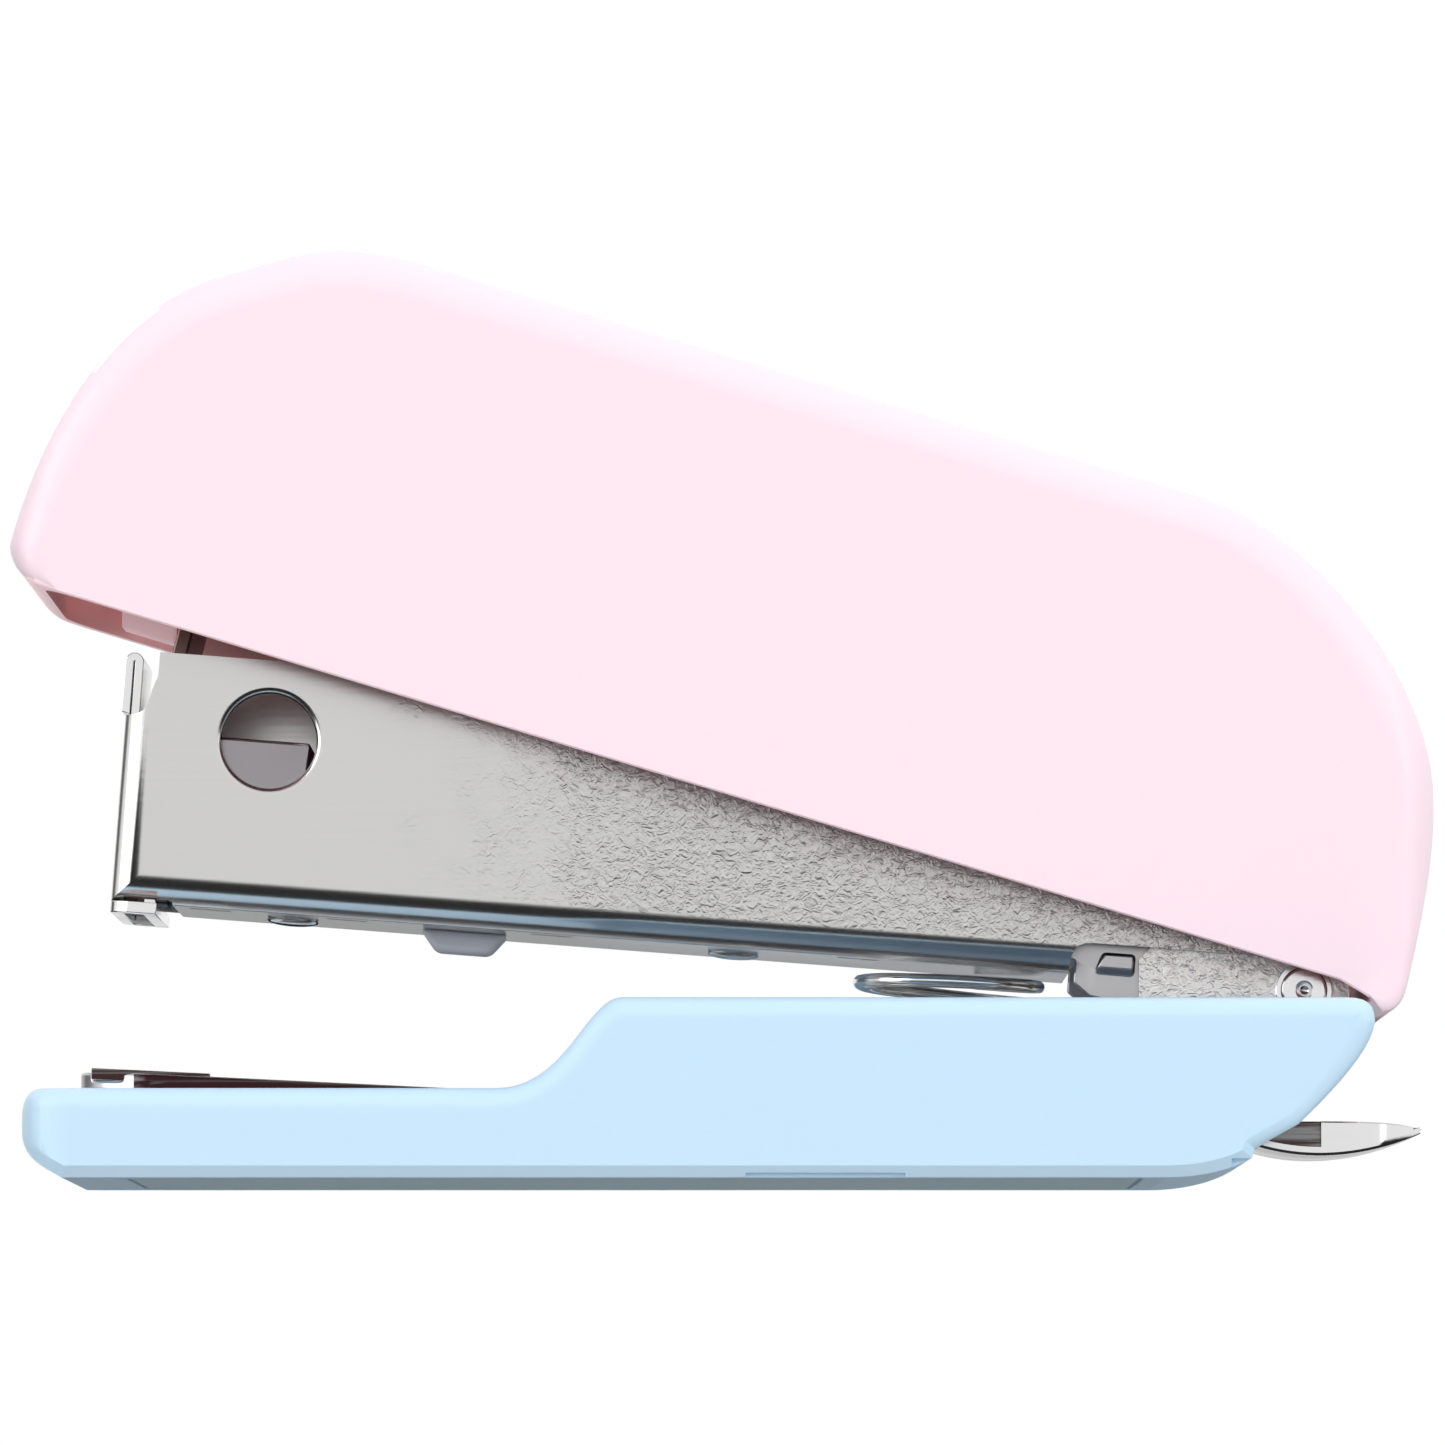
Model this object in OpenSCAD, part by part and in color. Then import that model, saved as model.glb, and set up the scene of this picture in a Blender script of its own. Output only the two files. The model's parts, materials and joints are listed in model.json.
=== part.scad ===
/* [Overall] */
// Width over the base and over the nose of the cover
body_w = 26; // [24:0.5:30]
// Width of the cover's tail, which swings down between the base's cheeks
tail_w = 22.4; // [18:0.2:22.4]
// Thickness of the plastic walls
wall = 1.5; // [1.2:0.1:1.8]
// Thickness of the thin sheet steel
sheet = 0.55; // [0.45:0.05:0.55]

/* [Hinge] */
// Hinge pin centre, measured from the middle of the length
pin_x = 25.4; // [25.2:0.1:25.6]
// Hinge pin centre above the table
pin_z = 8.3; // [8.2:0.1:8.4]
// Radius of the hinge pin
pin_r = 1.0; // [0.8:0.1:1.0]
// Radial running clearance on the hinge pin
pin_gap = 0.05; // [0.03:0.01:0.1]

/* [Magazine] */
// Nose-up tilt of the magazine at rest
mag_tilt = 4.33; // [4:0.1:4.6]
// Distance from the pin to the outer face of the front wall
mag_len = 52.3; // [52:0.1:52.6]
// Height of the side plates
mag_h = 10.96; // [10:0.1:11]
// Width over the side plates
mag_w = 14.4; // [14.4:0.1:15]
// Width over the core rail that the staples straddle
rail_w = 11.6; // [11.4:0.1:11.6]
// Height of the core rail's top edge
rail_top = 6.4; // [6:0.1:6.5]
// Radius of the round window in the left side plate
window_r = 2.07; // [1.5:0.1:2.2]

/* [Driver] */
// Angle that the cover turns on the magazine to drive a staple
press_angle = 9.9; // [9:0.1:10]
// Thickness of the driver blade
blade_t = 0.65; // [0.5:0.05:0.65]
// Distance from the pin to the blade's front face
blade_u = 51.6; // [51.4:0.05:51.6]

/* [Springs] */
// Outer radius of the return spring
coil_r = 4.25; // [3.5:0.1:4.3]
// Wire diameter of the return spring
coil_wire = 0.6; // [0.5:0.05:0.8]
// Distance of the return spring in front of the pin
coil_back = 15.4; // [14:0.2:16]

/* [Hidden] */
$fn = 64;

pink = "#fee5ee";
blue = "#cbe7fc";
steel = "#c9cbcc";
chrome = "#e2e4e6";
dark_steel = "#6b5a55";

half_w = body_w / 2;
tail_half = tail_w / 2;
bay_half = half_w - wall;
mag_half = mag_w / 2;
rail_half = rail_w / 2;
far = 90;

// Base: deck, raised cheeks and the slope that the steel plate lies on
deck_z = 3.87;
cheek_z = 7.8;
plate_t = 0.8;
plate_front = [-26.8, 4.75];
plate_slope = -0.048;
plate_half = 6.5;
plate_end = 14;
plate_rivet_x = 1.5;
plate_rivet_r = 1;
remover_rivet_x = 18.5;
remover_rivet_r = 0.8;
rivet_foot_z = 1.1;
pad_t = 0.6;
pad_front = -25.8;
pad_length = 44;
pad_width = 21.6;
pad_gap = 0.1;
anvil_half = 5.9;

// Hinge bracket ears sit between the magazine's side plates and the core rail
ear_in = 5.95;
ear_out = 6.55;
ear_r = 2.0;
ear_front = 18.2;
ear_back = 22.5;
ear_top = 10.2;
bracket_front = 14.8;
bracket_t = 0.6;

// Driver arm ears sit inside the core rail
arm_ear_in = 4.45;
arm_ear_out = 5.15;
arm_half = 6.2;
arm_z = 9.6;
arm_t = 0.7;
arm_rivets = [16, 40];

// Magazine details, as distances from the pin
floor_from = 10.3;
floor_to = 49.6;
rail_front = 50.3;
floor_t = 0.5;
rail_floor = 0.6;
pusher_back = 44.1;
pusher_front = 50.2;
rod_z = 3.3;
rod_r = 0.8;
stop_u = 9.0;
window = [45.9, 7.45];
rail_rivets = [44.5, 25];
rail_rivet_r = 0.7;
arm_rivet_r = 0.8;
bump_u = 36.9;
stop_tab = [7.5, 9.1];

// Height of the plate's top face at a distance along the base
function plate_z(x) = plate_front[1] + (x - plate_front[0]) * plate_slope;

// Points along a cubic curve
function curve(a, b, c, d, n = 10) = [for (i = [0 : n]) let (t = i / n)
    pow(1 - t, 3) * a + 3 * t * pow(1 - t, 2) * b + 3 * t * t * (1 - t) * c + pow(t, 3) * d];

// The left-hand normal at point i of an open outline
function normal_at(p, i) = let (a = p[max(i - 1, 0)], b = p[min(i + 1, len(p) - 1)], d = b - a)
    [d[1], -d[0]] / norm(d);

// An open outline moved inward by a wall's thickness
function inset(p, t) = [for (i = [0 : len(p) - 1]) p[i] + t * normal_at(p, i)];

// Turning points of the cover's outline in side view
chin = [-29.6, 25.65];
nose = [-31, 27.5];
brow = [-21.7, 39.2];
crest = [-16.7, 40.3];
top_front = [-10.5, 38.95];
top_rear = [20.9, 29.63];
rear_most = [31, 16.3];
heel = [29.7, 8.3];
lip = [28.6, 7.2];
hem_end = [26.8, 8.66];

chin_skin = curve(chin, [-30.3, 25.9], [-30.9, 26.6], nose, 5);
roof_skin = concat(
    curve(nose, [-29.3, 33.2], [-26.2, 38.0], brow, 12),
    curve(brow, [-20.0, 39.65], [-18.3, 40.3], crest, 5),
    curve(crest, [-14.6, 40.3], [-12.6, 39.57], top_front, 5),
    curve(top_rear, [25.7, 28.2], [31, 21.5], rear_most, 12),
    curve(rear_most, [31, 13.7], [30.3, 10.8], heel, 6));
lip_skin = curve(heel, [29.55, 7.65], [29.2, 7.2], lip, 4);

// The same outline with its doubled joining points left out
function joined(p) = [for (i = [0 : len(p) - 1])
    if (i == 0 || norm(p[i] - p[max(i - 1, 0)]) > 0.001) p[i]];

cover_points = joined(concat(chin_skin, roof_skin, lip_skin));
roof_points = joined(roof_skin);

base_outline = concat(
    curve([-29.4, 0.5], [-30.1, 0.9], [-30.45, 1.4], [-30.45, 2.2], 5),
    curve([-30.45, 2.6], [-30.45, 3.4], [-30.1, 3.87], [-29.5, deck_z], 5),
    curve([-9.75, deck_z], [-6.8, 3.9], [-5.9, 7.7], [-4.4, cheek_z], 12),
    curve([27.3, cheek_z], [27.9, cheek_z], [28.25, 7.6], [28.24, 7.0], 5),
    curve([28.23, 6.9], [28.1, 5.6], [26.6, 3.9], [24.9, 2.3], 8),
    [[23.0, 1.25]],
    curve([22.9, 0.8], [22.0, 0.3], [20.6, 0], [19.2, 0], 5),
    [[-28.8, 0]]);

// An outline in side view, given thickness across the body
module slab(points, y_from, y_to) {
    translate([0, y_to, 0])
        rotate([90, 0, 0])
            linear_extrude(y_to - y_from)
                polygon(points);
}

// The same outline on both sides of the middle
module both_sides(points, y_in, y_out) {
    slab(points, y_in, y_out);
    slab(points, -y_out, -y_in);
}

// A rod across the body
module across(r, x, z, y_from, y_to) {
    translate([x, y_from, z])
        rotate([-90, 0, 0])
            cylinder(r = r, h = y_to - y_from);
}

// Puts children, drawn as [distance from the pin, height], in place on the magazine
module on_magazine() {
    translate([pin_x, 0, pin_z])
        rotate([0, mag_tilt, 0])
            children();
}

// The same for the driver arm, which stands open by the press angle
module on_arm() {
    translate([pin_x, 0, pin_z])
        rotate([0, mag_tilt + press_angle, 0])
            children();
}

// An outline as [distance from the pin, height], turned to face forward
function ahead(points) = [for (p = points) [-p[0], p[1]]];

// A box given by its distance from the pin, width and height
module block(u_from, u_to, y_from, y_to, n_from, n_to) {
    translate([-u_to, y_from, n_from])
        cube([u_to - u_from, y_to - y_from, n_to - n_from]);
}

// A rectangle with round corners, centred on its width and standing on its base line
module round_box(w, h, r) {
    translate([-w / 2 + r, 0])
        square([w - 2 * r, h]);
    translate([-w / 2, r])
        square([w, h - 2 * r]);
    for (x = [-w / 2 + r, w / 2 - r], y = [r, h - r])
        translate([x, y])
            circle(r = r);
}

// ---- Base ----

// The base's outline with its chamfered bottom edge
module base_block() {
    bevel = 0.5;
    difference() {
        slab(base_outline, -half_w, half_w);
        for (s = [-1, 1])
            translate([-far / 2, s * half_w, 0])
                rotate([45, 0, 0])
                    translate([0, -bevel * 0.707, -bevel * 0.707])
                        cube([far, bevel * 1.414, bevel * 1.414]);
        for (s = [-1, 1])
            base_corner_cut(s);
    }
}

// Rounds one front corner of the base in plan
module base_corner_cut(s) {
    r = 3;
    translate([-30.45 + r, s * (half_w - r), -1])
        difference() {
            translate([-r - 1, s > 0 ? 0 : -r - 1, 0])
                cube([r + 1, r + 1, deck_z + 2]);
            cylinder(r = r, h = deck_z + 2);
        }
}

// The open bay between the cheeks: level with the deck in front, then down to the sloping floor
module base_bay() {
    bay_front = -6.2;
    cheek_front = -10.5;
    slab([[bay_front, plate_z(bay_front) - plate_t], [far / 2, plate_z(far / 2) - plate_t],
        [far / 2, far / 2], [cheek_front, far / 2], [cheek_front, deck_z], [bay_front, deck_z]],
        -bay_half, bay_half);
}

module base_shell() {
    recess_front = -28.4;
    recess_half = plate_half + 0.1;
    pad_rise = pad_t + 0.02;
    color(blue)
        difference() {
            base_block();
            base_bay();
            slab([[recess_front, plate_z(recess_front) - plate_t], [0, plate_z(0) - plate_t],
                [0, 6], [recess_front, 6]], -recess_half, recess_half);
            translate([pad_front - pad_gap, -pad_width / 2 - pad_gap, -1])
                cube([pad_length + 2 * pad_gap, pad_width + 2 * pad_gap, pad_rise + 1]);
            translate([plate_rivet_x, 0, rivet_foot_z])
                cylinder(r = plate_rivet_r, h = cheek_z);
            translate([remover_rivet_x, 0, rivet_foot_z])
                cylinder(r = remover_rivet_r, h = cheek_z);
        }
}

module bottom_pad() {
    color("#b9d2e4")
        translate([pad_front, -pad_width / 2, 0])
            cube([pad_length, pad_width, pad_t]);
}

// Long steel plate, rounded at the front, sloping down towards the hinge
module base_plate() {
    tip = -28.2;
    r = 4;
    color(steel)
        difference() {
            intersection() {
                slab([[tip, plate_z(tip) - plate_t], [plate_end, plate_z(plate_end) - plate_t],
                    [plate_end, plate_z(plate_end)], [tip, plate_z(tip)]],
                    -plate_half, plate_half);
                union() {
                    translate([tip + r, -plate_half, 0])
                        cube([60, 2 * plate_half, 9]);
                    translate([tip, -plate_half + r, 0])
                        cube([r + 1, 2 * (plate_half - r), 9]);
                    for (s = [-1, 1])
                        translate([tip + r, s * (plate_half - r), 0])
                            cylinder(r = r, h = 9);
                }
            }
            slab(anvil_outline, -anvil_half, anvil_half);
            translate([plate_rivet_x, 0, 0])
                cylinder(r = plate_rivet_r, h = cheek_z);
        }
}

// Side outline of the forming plate, let into the steel plate
anvil_rise = 0.15;
anvil_sink = 0.35;
anvil_outline = [[-27.6, plate_z(-27.6) - anvil_sink], [-22.4, plate_z(-22.4) - anvil_sink],
    [-22.5, plate_z(-22.5) + anvil_rise], [-27.5, plate_z(-27.5) + anvil_rise]];

// Forming plate with the two grooves that curl the staple's legs
module anvil() {
    groove_r = 0.9;
    groove_x = -26.2;
    groove_y = 3.1;
    groove_length = 4.2;
    groove_depth = 0.3;
    groove_z = plate_z(groove_x) + anvil_rise + groove_r - groove_depth;
    color(chrome)
        difference() {
            slab(anvil_outline, -anvil_half, anvil_half);
            for (s = [-1, 1])
                translate([groove_x, s * groove_y, groove_z])
                    rotate([90, 0, 0])
                        cylinder(r = groove_r, h = groove_length, center = true);
        }
}

module hinge_bracket() {
    base_line = [[bracket_front, plate_z(bracket_front)], [ear_back, plate_z(ear_back)],
        [ear_back, plate_z(ear_back) + bracket_t],
        [bracket_front, plate_z(bracket_front) + bracket_t]];
    ear = [[ear_front, plate_z(ear_front) + 0.3], [ear_back, plate_z(ear_back)],
        [pin_x + 1.3, pin_z - 1.52], [pin_x, ear_top], [ear_front + 0.6, ear_top],
        [ear_front, ear_top - 0.6]];
    color(steel)
        difference() {
            union() {
                slab(base_line, -ear_out, ear_out);
                both_sides(ear, ear_in, ear_out);
                across(ear_r, pin_x, pin_z, ear_in, ear_out);
                across(ear_r, pin_x, pin_z, -ear_out, -ear_in);
            }
            across(pin_r, pin_x, pin_z, -8, 8);
            translate([remover_rivet_x, 0, 0])
                cylinder(r = remover_rivet_r, h = 5);
        }
}

// A flat-headed rivet standing on the Z axis
module rivet(shank_r, head_r, head_t, z_from, z_to) {
    translate([0, 0, z_from])
        cylinder(r = shank_r, h = z_to - z_from);
    translate([0, 0, z_to])
        cylinder(r1 = head_r, r2 = head_r * 0.75, h = head_t);
}

module plate_rivet() {
    color(chrome)
        translate([plate_rivet_x, 0, 0])
            rivet(plate_rivet_r, 1.6, 0.4, rivet_foot_z, plate_z(plate_rivet_x) + 0.05);
}

module remover_rivet() {
    color(chrome)
        translate([remover_rivet_x, 0, 0])
            rivet(remover_rivet_r, 1.5, 0.4, rivet_foot_z,
                plate_z(remover_rivet_x) + bracket_t + 0.05);
}

module hinge_pin() {
    reach = 6.95;
    color(chrome)
        difference() {
            across(pin_r, pin_x, pin_z, -reach, reach);
            for (s = [-1, 1])
                translate([pin_x, s * (reach + 0.25), pin_z])
                    sphere(r = 0.5);
        }
}

// A ring pressed on the pin against an ear
module pin_washer(y_from) {
    color(steel)
        difference() {
            across(1.25, pin_x, pin_z, y_from, y_from + 0.2);
            across(pin_r, pin_x, pin_z, y_from - 1, y_from + 1);
        }
}

module pin_washer_left() {
    pin_washer(-ear_out - 0.22);
}

module pin_washer_right() {
    pin_washer(ear_out + 0.02);
}

// Envelope of the return coil, cut to the tilt of the magazine's floor
module return_spring() {
    spring_x = pin_x - coil_back;
    seat = plate_z(spring_x - coil_r) + 0.02;
    color(chrome)
        difference() {
            translate([spring_x, 0, seat])
                difference() {
                    cylinder(r = coil_r, h = 9);
                    translate([0, 0, -1])
                        cylinder(r = coil_r - coil_wire, h = 11);
                }
            on_magazine()
                block(0, 40, -9, 9, -0.04, 20);
        }
}

// Blunt steel tongue with raised edges, used to pull staples out
module staple_remover() {
    root = 14.1;
    under = curve([23.6, plate_z(23.6) - plate_t], [26.5, 1.1], [29, 1.55], [30.9, 2.15], 8);
    over = curve([31, 2.3], [29, 2.2], [27, 2.0], [23.6, plate_z(23.6)], 8);
    edge = [[23.3, plate_z(23.3) - 0.1], [26, 1.8], [30.6, 2.15], [30.3, 2.42], [24.6, 2.75],
        [23.3, 2.45]];
    color(chrome)
        difference() {
            intersection() {
                union() {
                    slab(concat([[root, plate_z(root) - plate_t]], under, over,
                        [[root, plate_z(root)]]), -5.4, 5.4);
                    both_sides(edge, 4.2, 5.4);
                }
                remover_plan();
            }
            translate([remover_rivet_x, 0, 0])
                cylinder(r = remover_rivet_r, h = 5);
        }
}

// The tongue in plan: parallel to behind the hinge, then tapering to a blunt tip
module remover_plan() {
    linear_extrude(6)
        polygon(concat([[14, -5.4], [25, -5.4]],
            curve([26.5, -5.3], [29.5, -4.6], [31, -3.2], [31, 0], 8),
            curve([31, 0.01], [31, 3.2], [29.5, 4.6], [26.5, 5.3], 8),
            [[25, 5.4], [14, 5.4]]));
}

// ---- Magazine ----

// The rounded outer body of the magazine, shrunk by a given skin
module magazine_body(skin) {
    bend = 1.25 - skin * 0.9;
    u_max = mag_len - skin;
    intersection() {
        translate([-u_max, 0, skin])
            rotate([90, 0, 90])
                linear_extrude(u_max + 1)
                    round_box(mag_w - 2 * skin, 20, bend);
        translate([1, 0, -2])
            rotate([0, 0, 90])
                linear_extrude(24)
                    round_box(mag_w - 2 * skin, u_max + 1, bend);
    }
}

module magazine_frame() {
    front_step = 50.9;
    step_z = 8.15;
    color(steel)
        on_magazine()
            difference() {
                magazine_body(0);
                magazine_body(sheet);
                block(-3, 60, -9, 9, mag_h, 30);
                block(front_step, 60, -9, 9, step_z, 30);
                block(-3, floor_from, -9, 9, -1, 1.35);
                block(floor_to, mag_len - sheet, -6.6, 6.6, -1, 1.2);
                across(window_r, -window[0], window[1], -9, 0);
                block(-3, 0.4, -mag_half + sheet, mag_half - sheet, 0, 20);
                block(-3, -0.98, -9, 9, 0, 20);
                for (u = [48, 42, 33, 19.5])
                    block(u - 0.9, u + 0.9, -4.6, -3.6, -1, 0.59);
                for (u = rail_rivets)
                    translate([-u, 0, -1])
                        cylinder(r = rail_rivet_r, h = 3);
            }
}

// Upright channel that the staples straddle; its walls run back to the pin. A tab bent out of
// each wall stands in front of the bracket's ear.
module staple_rail() {
    profile = [[0, -1.9], [2.8, -1.9], [9.3, -0.95], [10.05, -0.4], [10.05, rail_floor],
        [rail_front, rail_floor], [rail_front, rail_top - 0.6], [rail_front - 0.6, rail_top],
        [4, rail_top], [-1.9, 1], [-1.9, 0]];
    rail_in = rail_half - floor_t;
    tab_out = 6.5;
    color(steel)
        on_magazine()
            difference() {
                union() {
                    both_sides(ahead(profile), rail_in, rail_half);
                    block(3.2, rail_front, -rail_half, rail_half, rail_floor,
                        rail_floor + floor_t);
                    block(rail_front - 0.6, rail_front, -rail_half, rail_half, rail_floor, 5.4);
                    both_sides(ahead([[stop_tab[0], 0.05], [stop_tab[1], 0.05],
                        [stop_tab[1], 0.95], [stop_tab[0], 0.95]]), rail_in, tab_out);
                    for (s = [-1, 1])
                        across(1.9, 0, 0, s * (rail_half - floor_t / 2) - floor_t / 2,
                            s * (rail_half - floor_t / 2) + floor_t / 2);
                }
                across(pin_r + pin_gap, 0, 0, -9, 9);
                translate([-60, 0, rod_z])
                    rotate([0, 90, 0])
                        cylinder(r = rod_r, h = 20);
                for (u = rail_rivets)
                    translate([-u, 0, -1])
                        cylinder(r = rail_rivet_r, h = 3);
            }
}

// Ring under the front wall that guides the staple onto the paper
module nose_guide() {
    slot_in = 50.87;
    color(chrome)
        on_magazine()
            difference() {
                union() {
                    block(50.25, mag_len - 0.4, -mag_half, mag_half, -0.5, 0);
                    block(mag_len - 0.4, mag_len, -mag_half + 1.2, mag_half - 1.2, -0.5, 0);
                    block(50.33, slot_in, -6.3, 6.3, -0.1, 1.4);
                }
                block(slot_in, mag_len - sheet, -6.45, 6.45, -2, 2);
            }
}

// Doubled strip that stands up from the front wall and curls over
module front_hook() {
    inner = mag_len - sheet + 0.01;
    leg = 0.34;
    color(chrome)
        on_magazine() {
            block(inner, inner + leg, -4.4, 4.4, 8.17, 10.7);
            block(inner + leg + 0.12, inner + 2 * leg + 0.12, -4.4, 4.4, 9.2, 10.7);
            translate([-inner - leg - 0.06, 0, 10.65])
                intersection() {
                    across(leg + 0.06, 0, 0, -4.4, 4.4);
                    translate([-1, -5, 0.05])
                        cube([2, 10, 2]);
                }
        }
}

module bump_stop() {
    color("#d8d6de")
        on_magazine()
            slab(ahead([[bump_u - 1.95, -0.01], [bump_u - 1.2, -0.95], [bump_u + 1.2, -0.95],
                [bump_u + 1.95, -0.01]]), -1.6, 1.6);
}

// Joins the core rail's floor to the magazine's floor
module rail_rivet(u) {
    color(chrome)
        on_magazine()
            translate([-u, 0, 0]) {
                rivet(rail_rivet_r, 1.2, 0.3, 0, rail_floor + floor_t);
                translate([0, 0, -0.3])
                    cylinder(r = 1.1, h = 0.3);
            }
}

module rail_rivet_front() {
    rail_rivet(rail_rivets[0]);
}

module rail_rivet_rear() {
    rail_rivet(rail_rivets[1]);
}

// Plate that holds the guide rod's rear end and takes the pusher spring's thrust
module rod_stop() {
    color(steel)
        on_magazine()
            difference() {
                block(stop_u, stop_u + 0.6, -5.25, 5.25, rail_floor + floor_t, 5.8);
                translate([-stop_u - 5, 0, rod_z])
                    rotate([0, 90, 0])
                        cylinder(r = rod_r, h = 10);
            }
}

module guide_rod() {
    color(chrome)
        on_magazine()
            translate([-50.2, 0, rod_z])
                rotate([0, 90, 0])
                    cylinder(r = rod_r, h = 50.2 - stop_u + 0.4);
}

// Envelope of the coil that pushes the staples forward
module pusher_spring() {
    color(chrome)
        on_magazine()
            translate([-pusher_back + 0.02, 0, rod_z])
                rotate([0, 90, 0])
                    difference() {
                        cylinder(r = 1.8, h = pusher_back - stop_u - 0.64);
                        translate([0, 0, -1])
                            cylinder(r = 1.1, h = 60);
                    }
}

// Saddle over the core rail, driven by a web that rides on the guide rod
module pusher() {
    saddle_half = 6.45;
    color(steel)
        on_magazine()
            difference() {
                union() {
                    block(pusher_back, pusher_front, -saddle_half, saddle_half, rail_top + 0.1, 7.5);
                    block(pusher_back, pusher_front, rail_half + 0.1, saddle_half, 1.4, 7);
                    block(pusher_back, pusher_front, -saddle_half, -rail_half - 0.1, 1.4, 7);
                    block(pusher_back, pusher_back + 2, -4.9, 4.9, 1.5, 7);
                }
                translate([-60, 0, rod_z])
                    rotate([0, 90, 0])
                        cylinder(r = rod_r + 0.08, h = 20);
            }
}

// ---- Cover ----

// The cover in plan: widest at the nose, tapering to the tail, with round corners
module cover_plan(skin, height) {
    x_front = nose[0] + skin;
    x_rear = rear_most[0] - skin;
    r = 3;
    front = half_w - skin;
    tail = tail_half - skin;
    translate([0, 0, -1])
        linear_extrude(height) {
            polygon([[x_front, -front + r], [x_front + r, -front], [pin_x, -tail],
                [x_rear - r, -tail], [x_rear, -tail + r], [x_rear, tail - r], [x_rear - r, tail],
                [pin_x, tail], [x_front + r, front], [x_front, front - r]]);
            for (s = [-1, 1]) {
                translate([x_front + r, s * (front - r)])
                    circle(r = r);
                translate([x_rear - r, s * (tail - r)])
                    circle(r = r);
            }
        }
}

// Solid inside the cover's outer faces, shrunk by a given skin
module cover_solid(skin) {
    foot = skin > 0
        ? [[heel[0] - skin, 0], [nose[0] + skin, 0]]
        : [lip + [-0.5, 0.7], hem_end, chin];
    outline = skin > 0 ? inset(roof_points, skin) : cover_points;
    intersection() {
        slab(concat(outline, foot), -half_w, half_w);
        cover_plan(skin, 60);
    }
}

// Plastic outer cover: a thin shell open along its lower edge
module top_cover() {
    color(pink)
        difference() {
            union() {
                difference() {
                    cover_solid(0);
                    cover_solid(wall);
                }
                cover_ribs();
                intersection() {
                    cover_bosses();
                    cover_solid(wall / 2);
                }
            }
            on_arm()
                for (u = arm_rivets)
                    translate([-u, 0, arm_z])
                        cylinder(r = arm_rivet_r, h = 4);
        }
}

// Upright ribs beside the driver, between the side walls and the magazine
module cover_ribs() {
    both_sides([[-26.1, 24.9], [-24.1, 24.3], [-24.1, 36.8], [-26.1, 35.5]], 7.9, half_w - 1);
}

// Posts under the roof that carry the driver arm
module cover_bosses() {
    on_arm()
        for (u = arm_rivets)
            translate([-u, 0, arm_z + arm_t])
                cylinder(r = 2.2, h = 12);
}

// Steel strap from the hinge to the driver blade, with turned-up edges
module driver_arm() {
    ear = [[-1.9, 0], [-1.3, 1.4], [1, arm_z + arm_t], [8, arm_z + arm_t], [7, arm_z - 1],
        [1.9, 0]];
    color(steel)
        on_arm()
            difference() {
                union() {
                    block(1, blade_u - blade_t, -arm_half, arm_half, arm_z, arm_z + arm_t);
                    both_sides(ahead([[6, arm_z], [48, arm_z], [47, arm_z + 2], [8, arm_z + 2]]),
                        arm_half - 0.7, arm_half);
                    both_sides(ahead(ear), arm_ear_in, arm_ear_out);
                    for (s = [-1, 1])
                        across(1.9, 0, 0, s * 4.8 - 0.35, s * 4.8 + 0.35);
                }
                across(pin_r + pin_gap, 0, 0, -9, 9);
                for (u = arm_rivets)
                    translate([-u, 0, 0])
                        cylinder(r = arm_rivet_r, h = 20);
            }
}

module driver_blade() {
    color(dark_steel)
        on_arm()
            block(blade_u - blade_t, blade_u, -6.3, 6.3, 0, arm_z + arm_t);
}

// Headed fixing through the strap into a boss
module arm_rivet(u) {
    color(chrome)
        on_arm()
            translate([-u, 0, arm_z]) {
                cylinder(r = arm_rivet_r, h = 4);
                translate([0, 0, -0.4])
                    cylinder(r = 1.6, h = 0.4);
            }
}

module arm_rivet_front() {
    arm_rivet(arm_rivets[1]);
}

module arm_rivet_rear() {
    arm_rivet(arm_rivets[0]);
}

// Torsion coil on the pin, with one leg on the rail's floor and one under the strap
module cover_spring() {
    wire = 0.5;
    coil_in = pin_r + 0.15;
    color(chrome)
        on_magazine() {
            difference() {
                across(coil_in + wire, 0, 0, -3.9, 3.9);
                across(coil_in, 0, 0, -5, 5);
            }
            slab(ahead([[0, coil_in], [8, 1.15], [8, 1.15 + wire], [0, coil_in + wire]]),
                -3.9, -3.9 + wire);
            slab(ahead([[-coil_in, 0], [-coil_in - wire, 0], [1.6, 9.1], [2.4, 9.1]]),
                3.9 - wire, 3.9);
        }
}

base_shell();
bottom_pad();
base_plate();
anvil();
hinge_bracket();
plate_rivet();
remover_rivet();
hinge_pin();
pin_washer_left();
pin_washer_right();
return_spring();
staple_remover();
magazine_frame();
staple_rail();
nose_guide();
front_hook();
bump_stop();
rail_rivet_front();
rail_rivet_rear();
rod_stop();
guide_rod();
pusher_spring();
pusher();
top_cover();
driver_arm();
driver_blade();
arm_rivet_front();
arm_rivet_rear();
cover_spring();
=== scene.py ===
import json
import math

import bmesh
import bpy
from mathutils import Matrix, Vector


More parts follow.
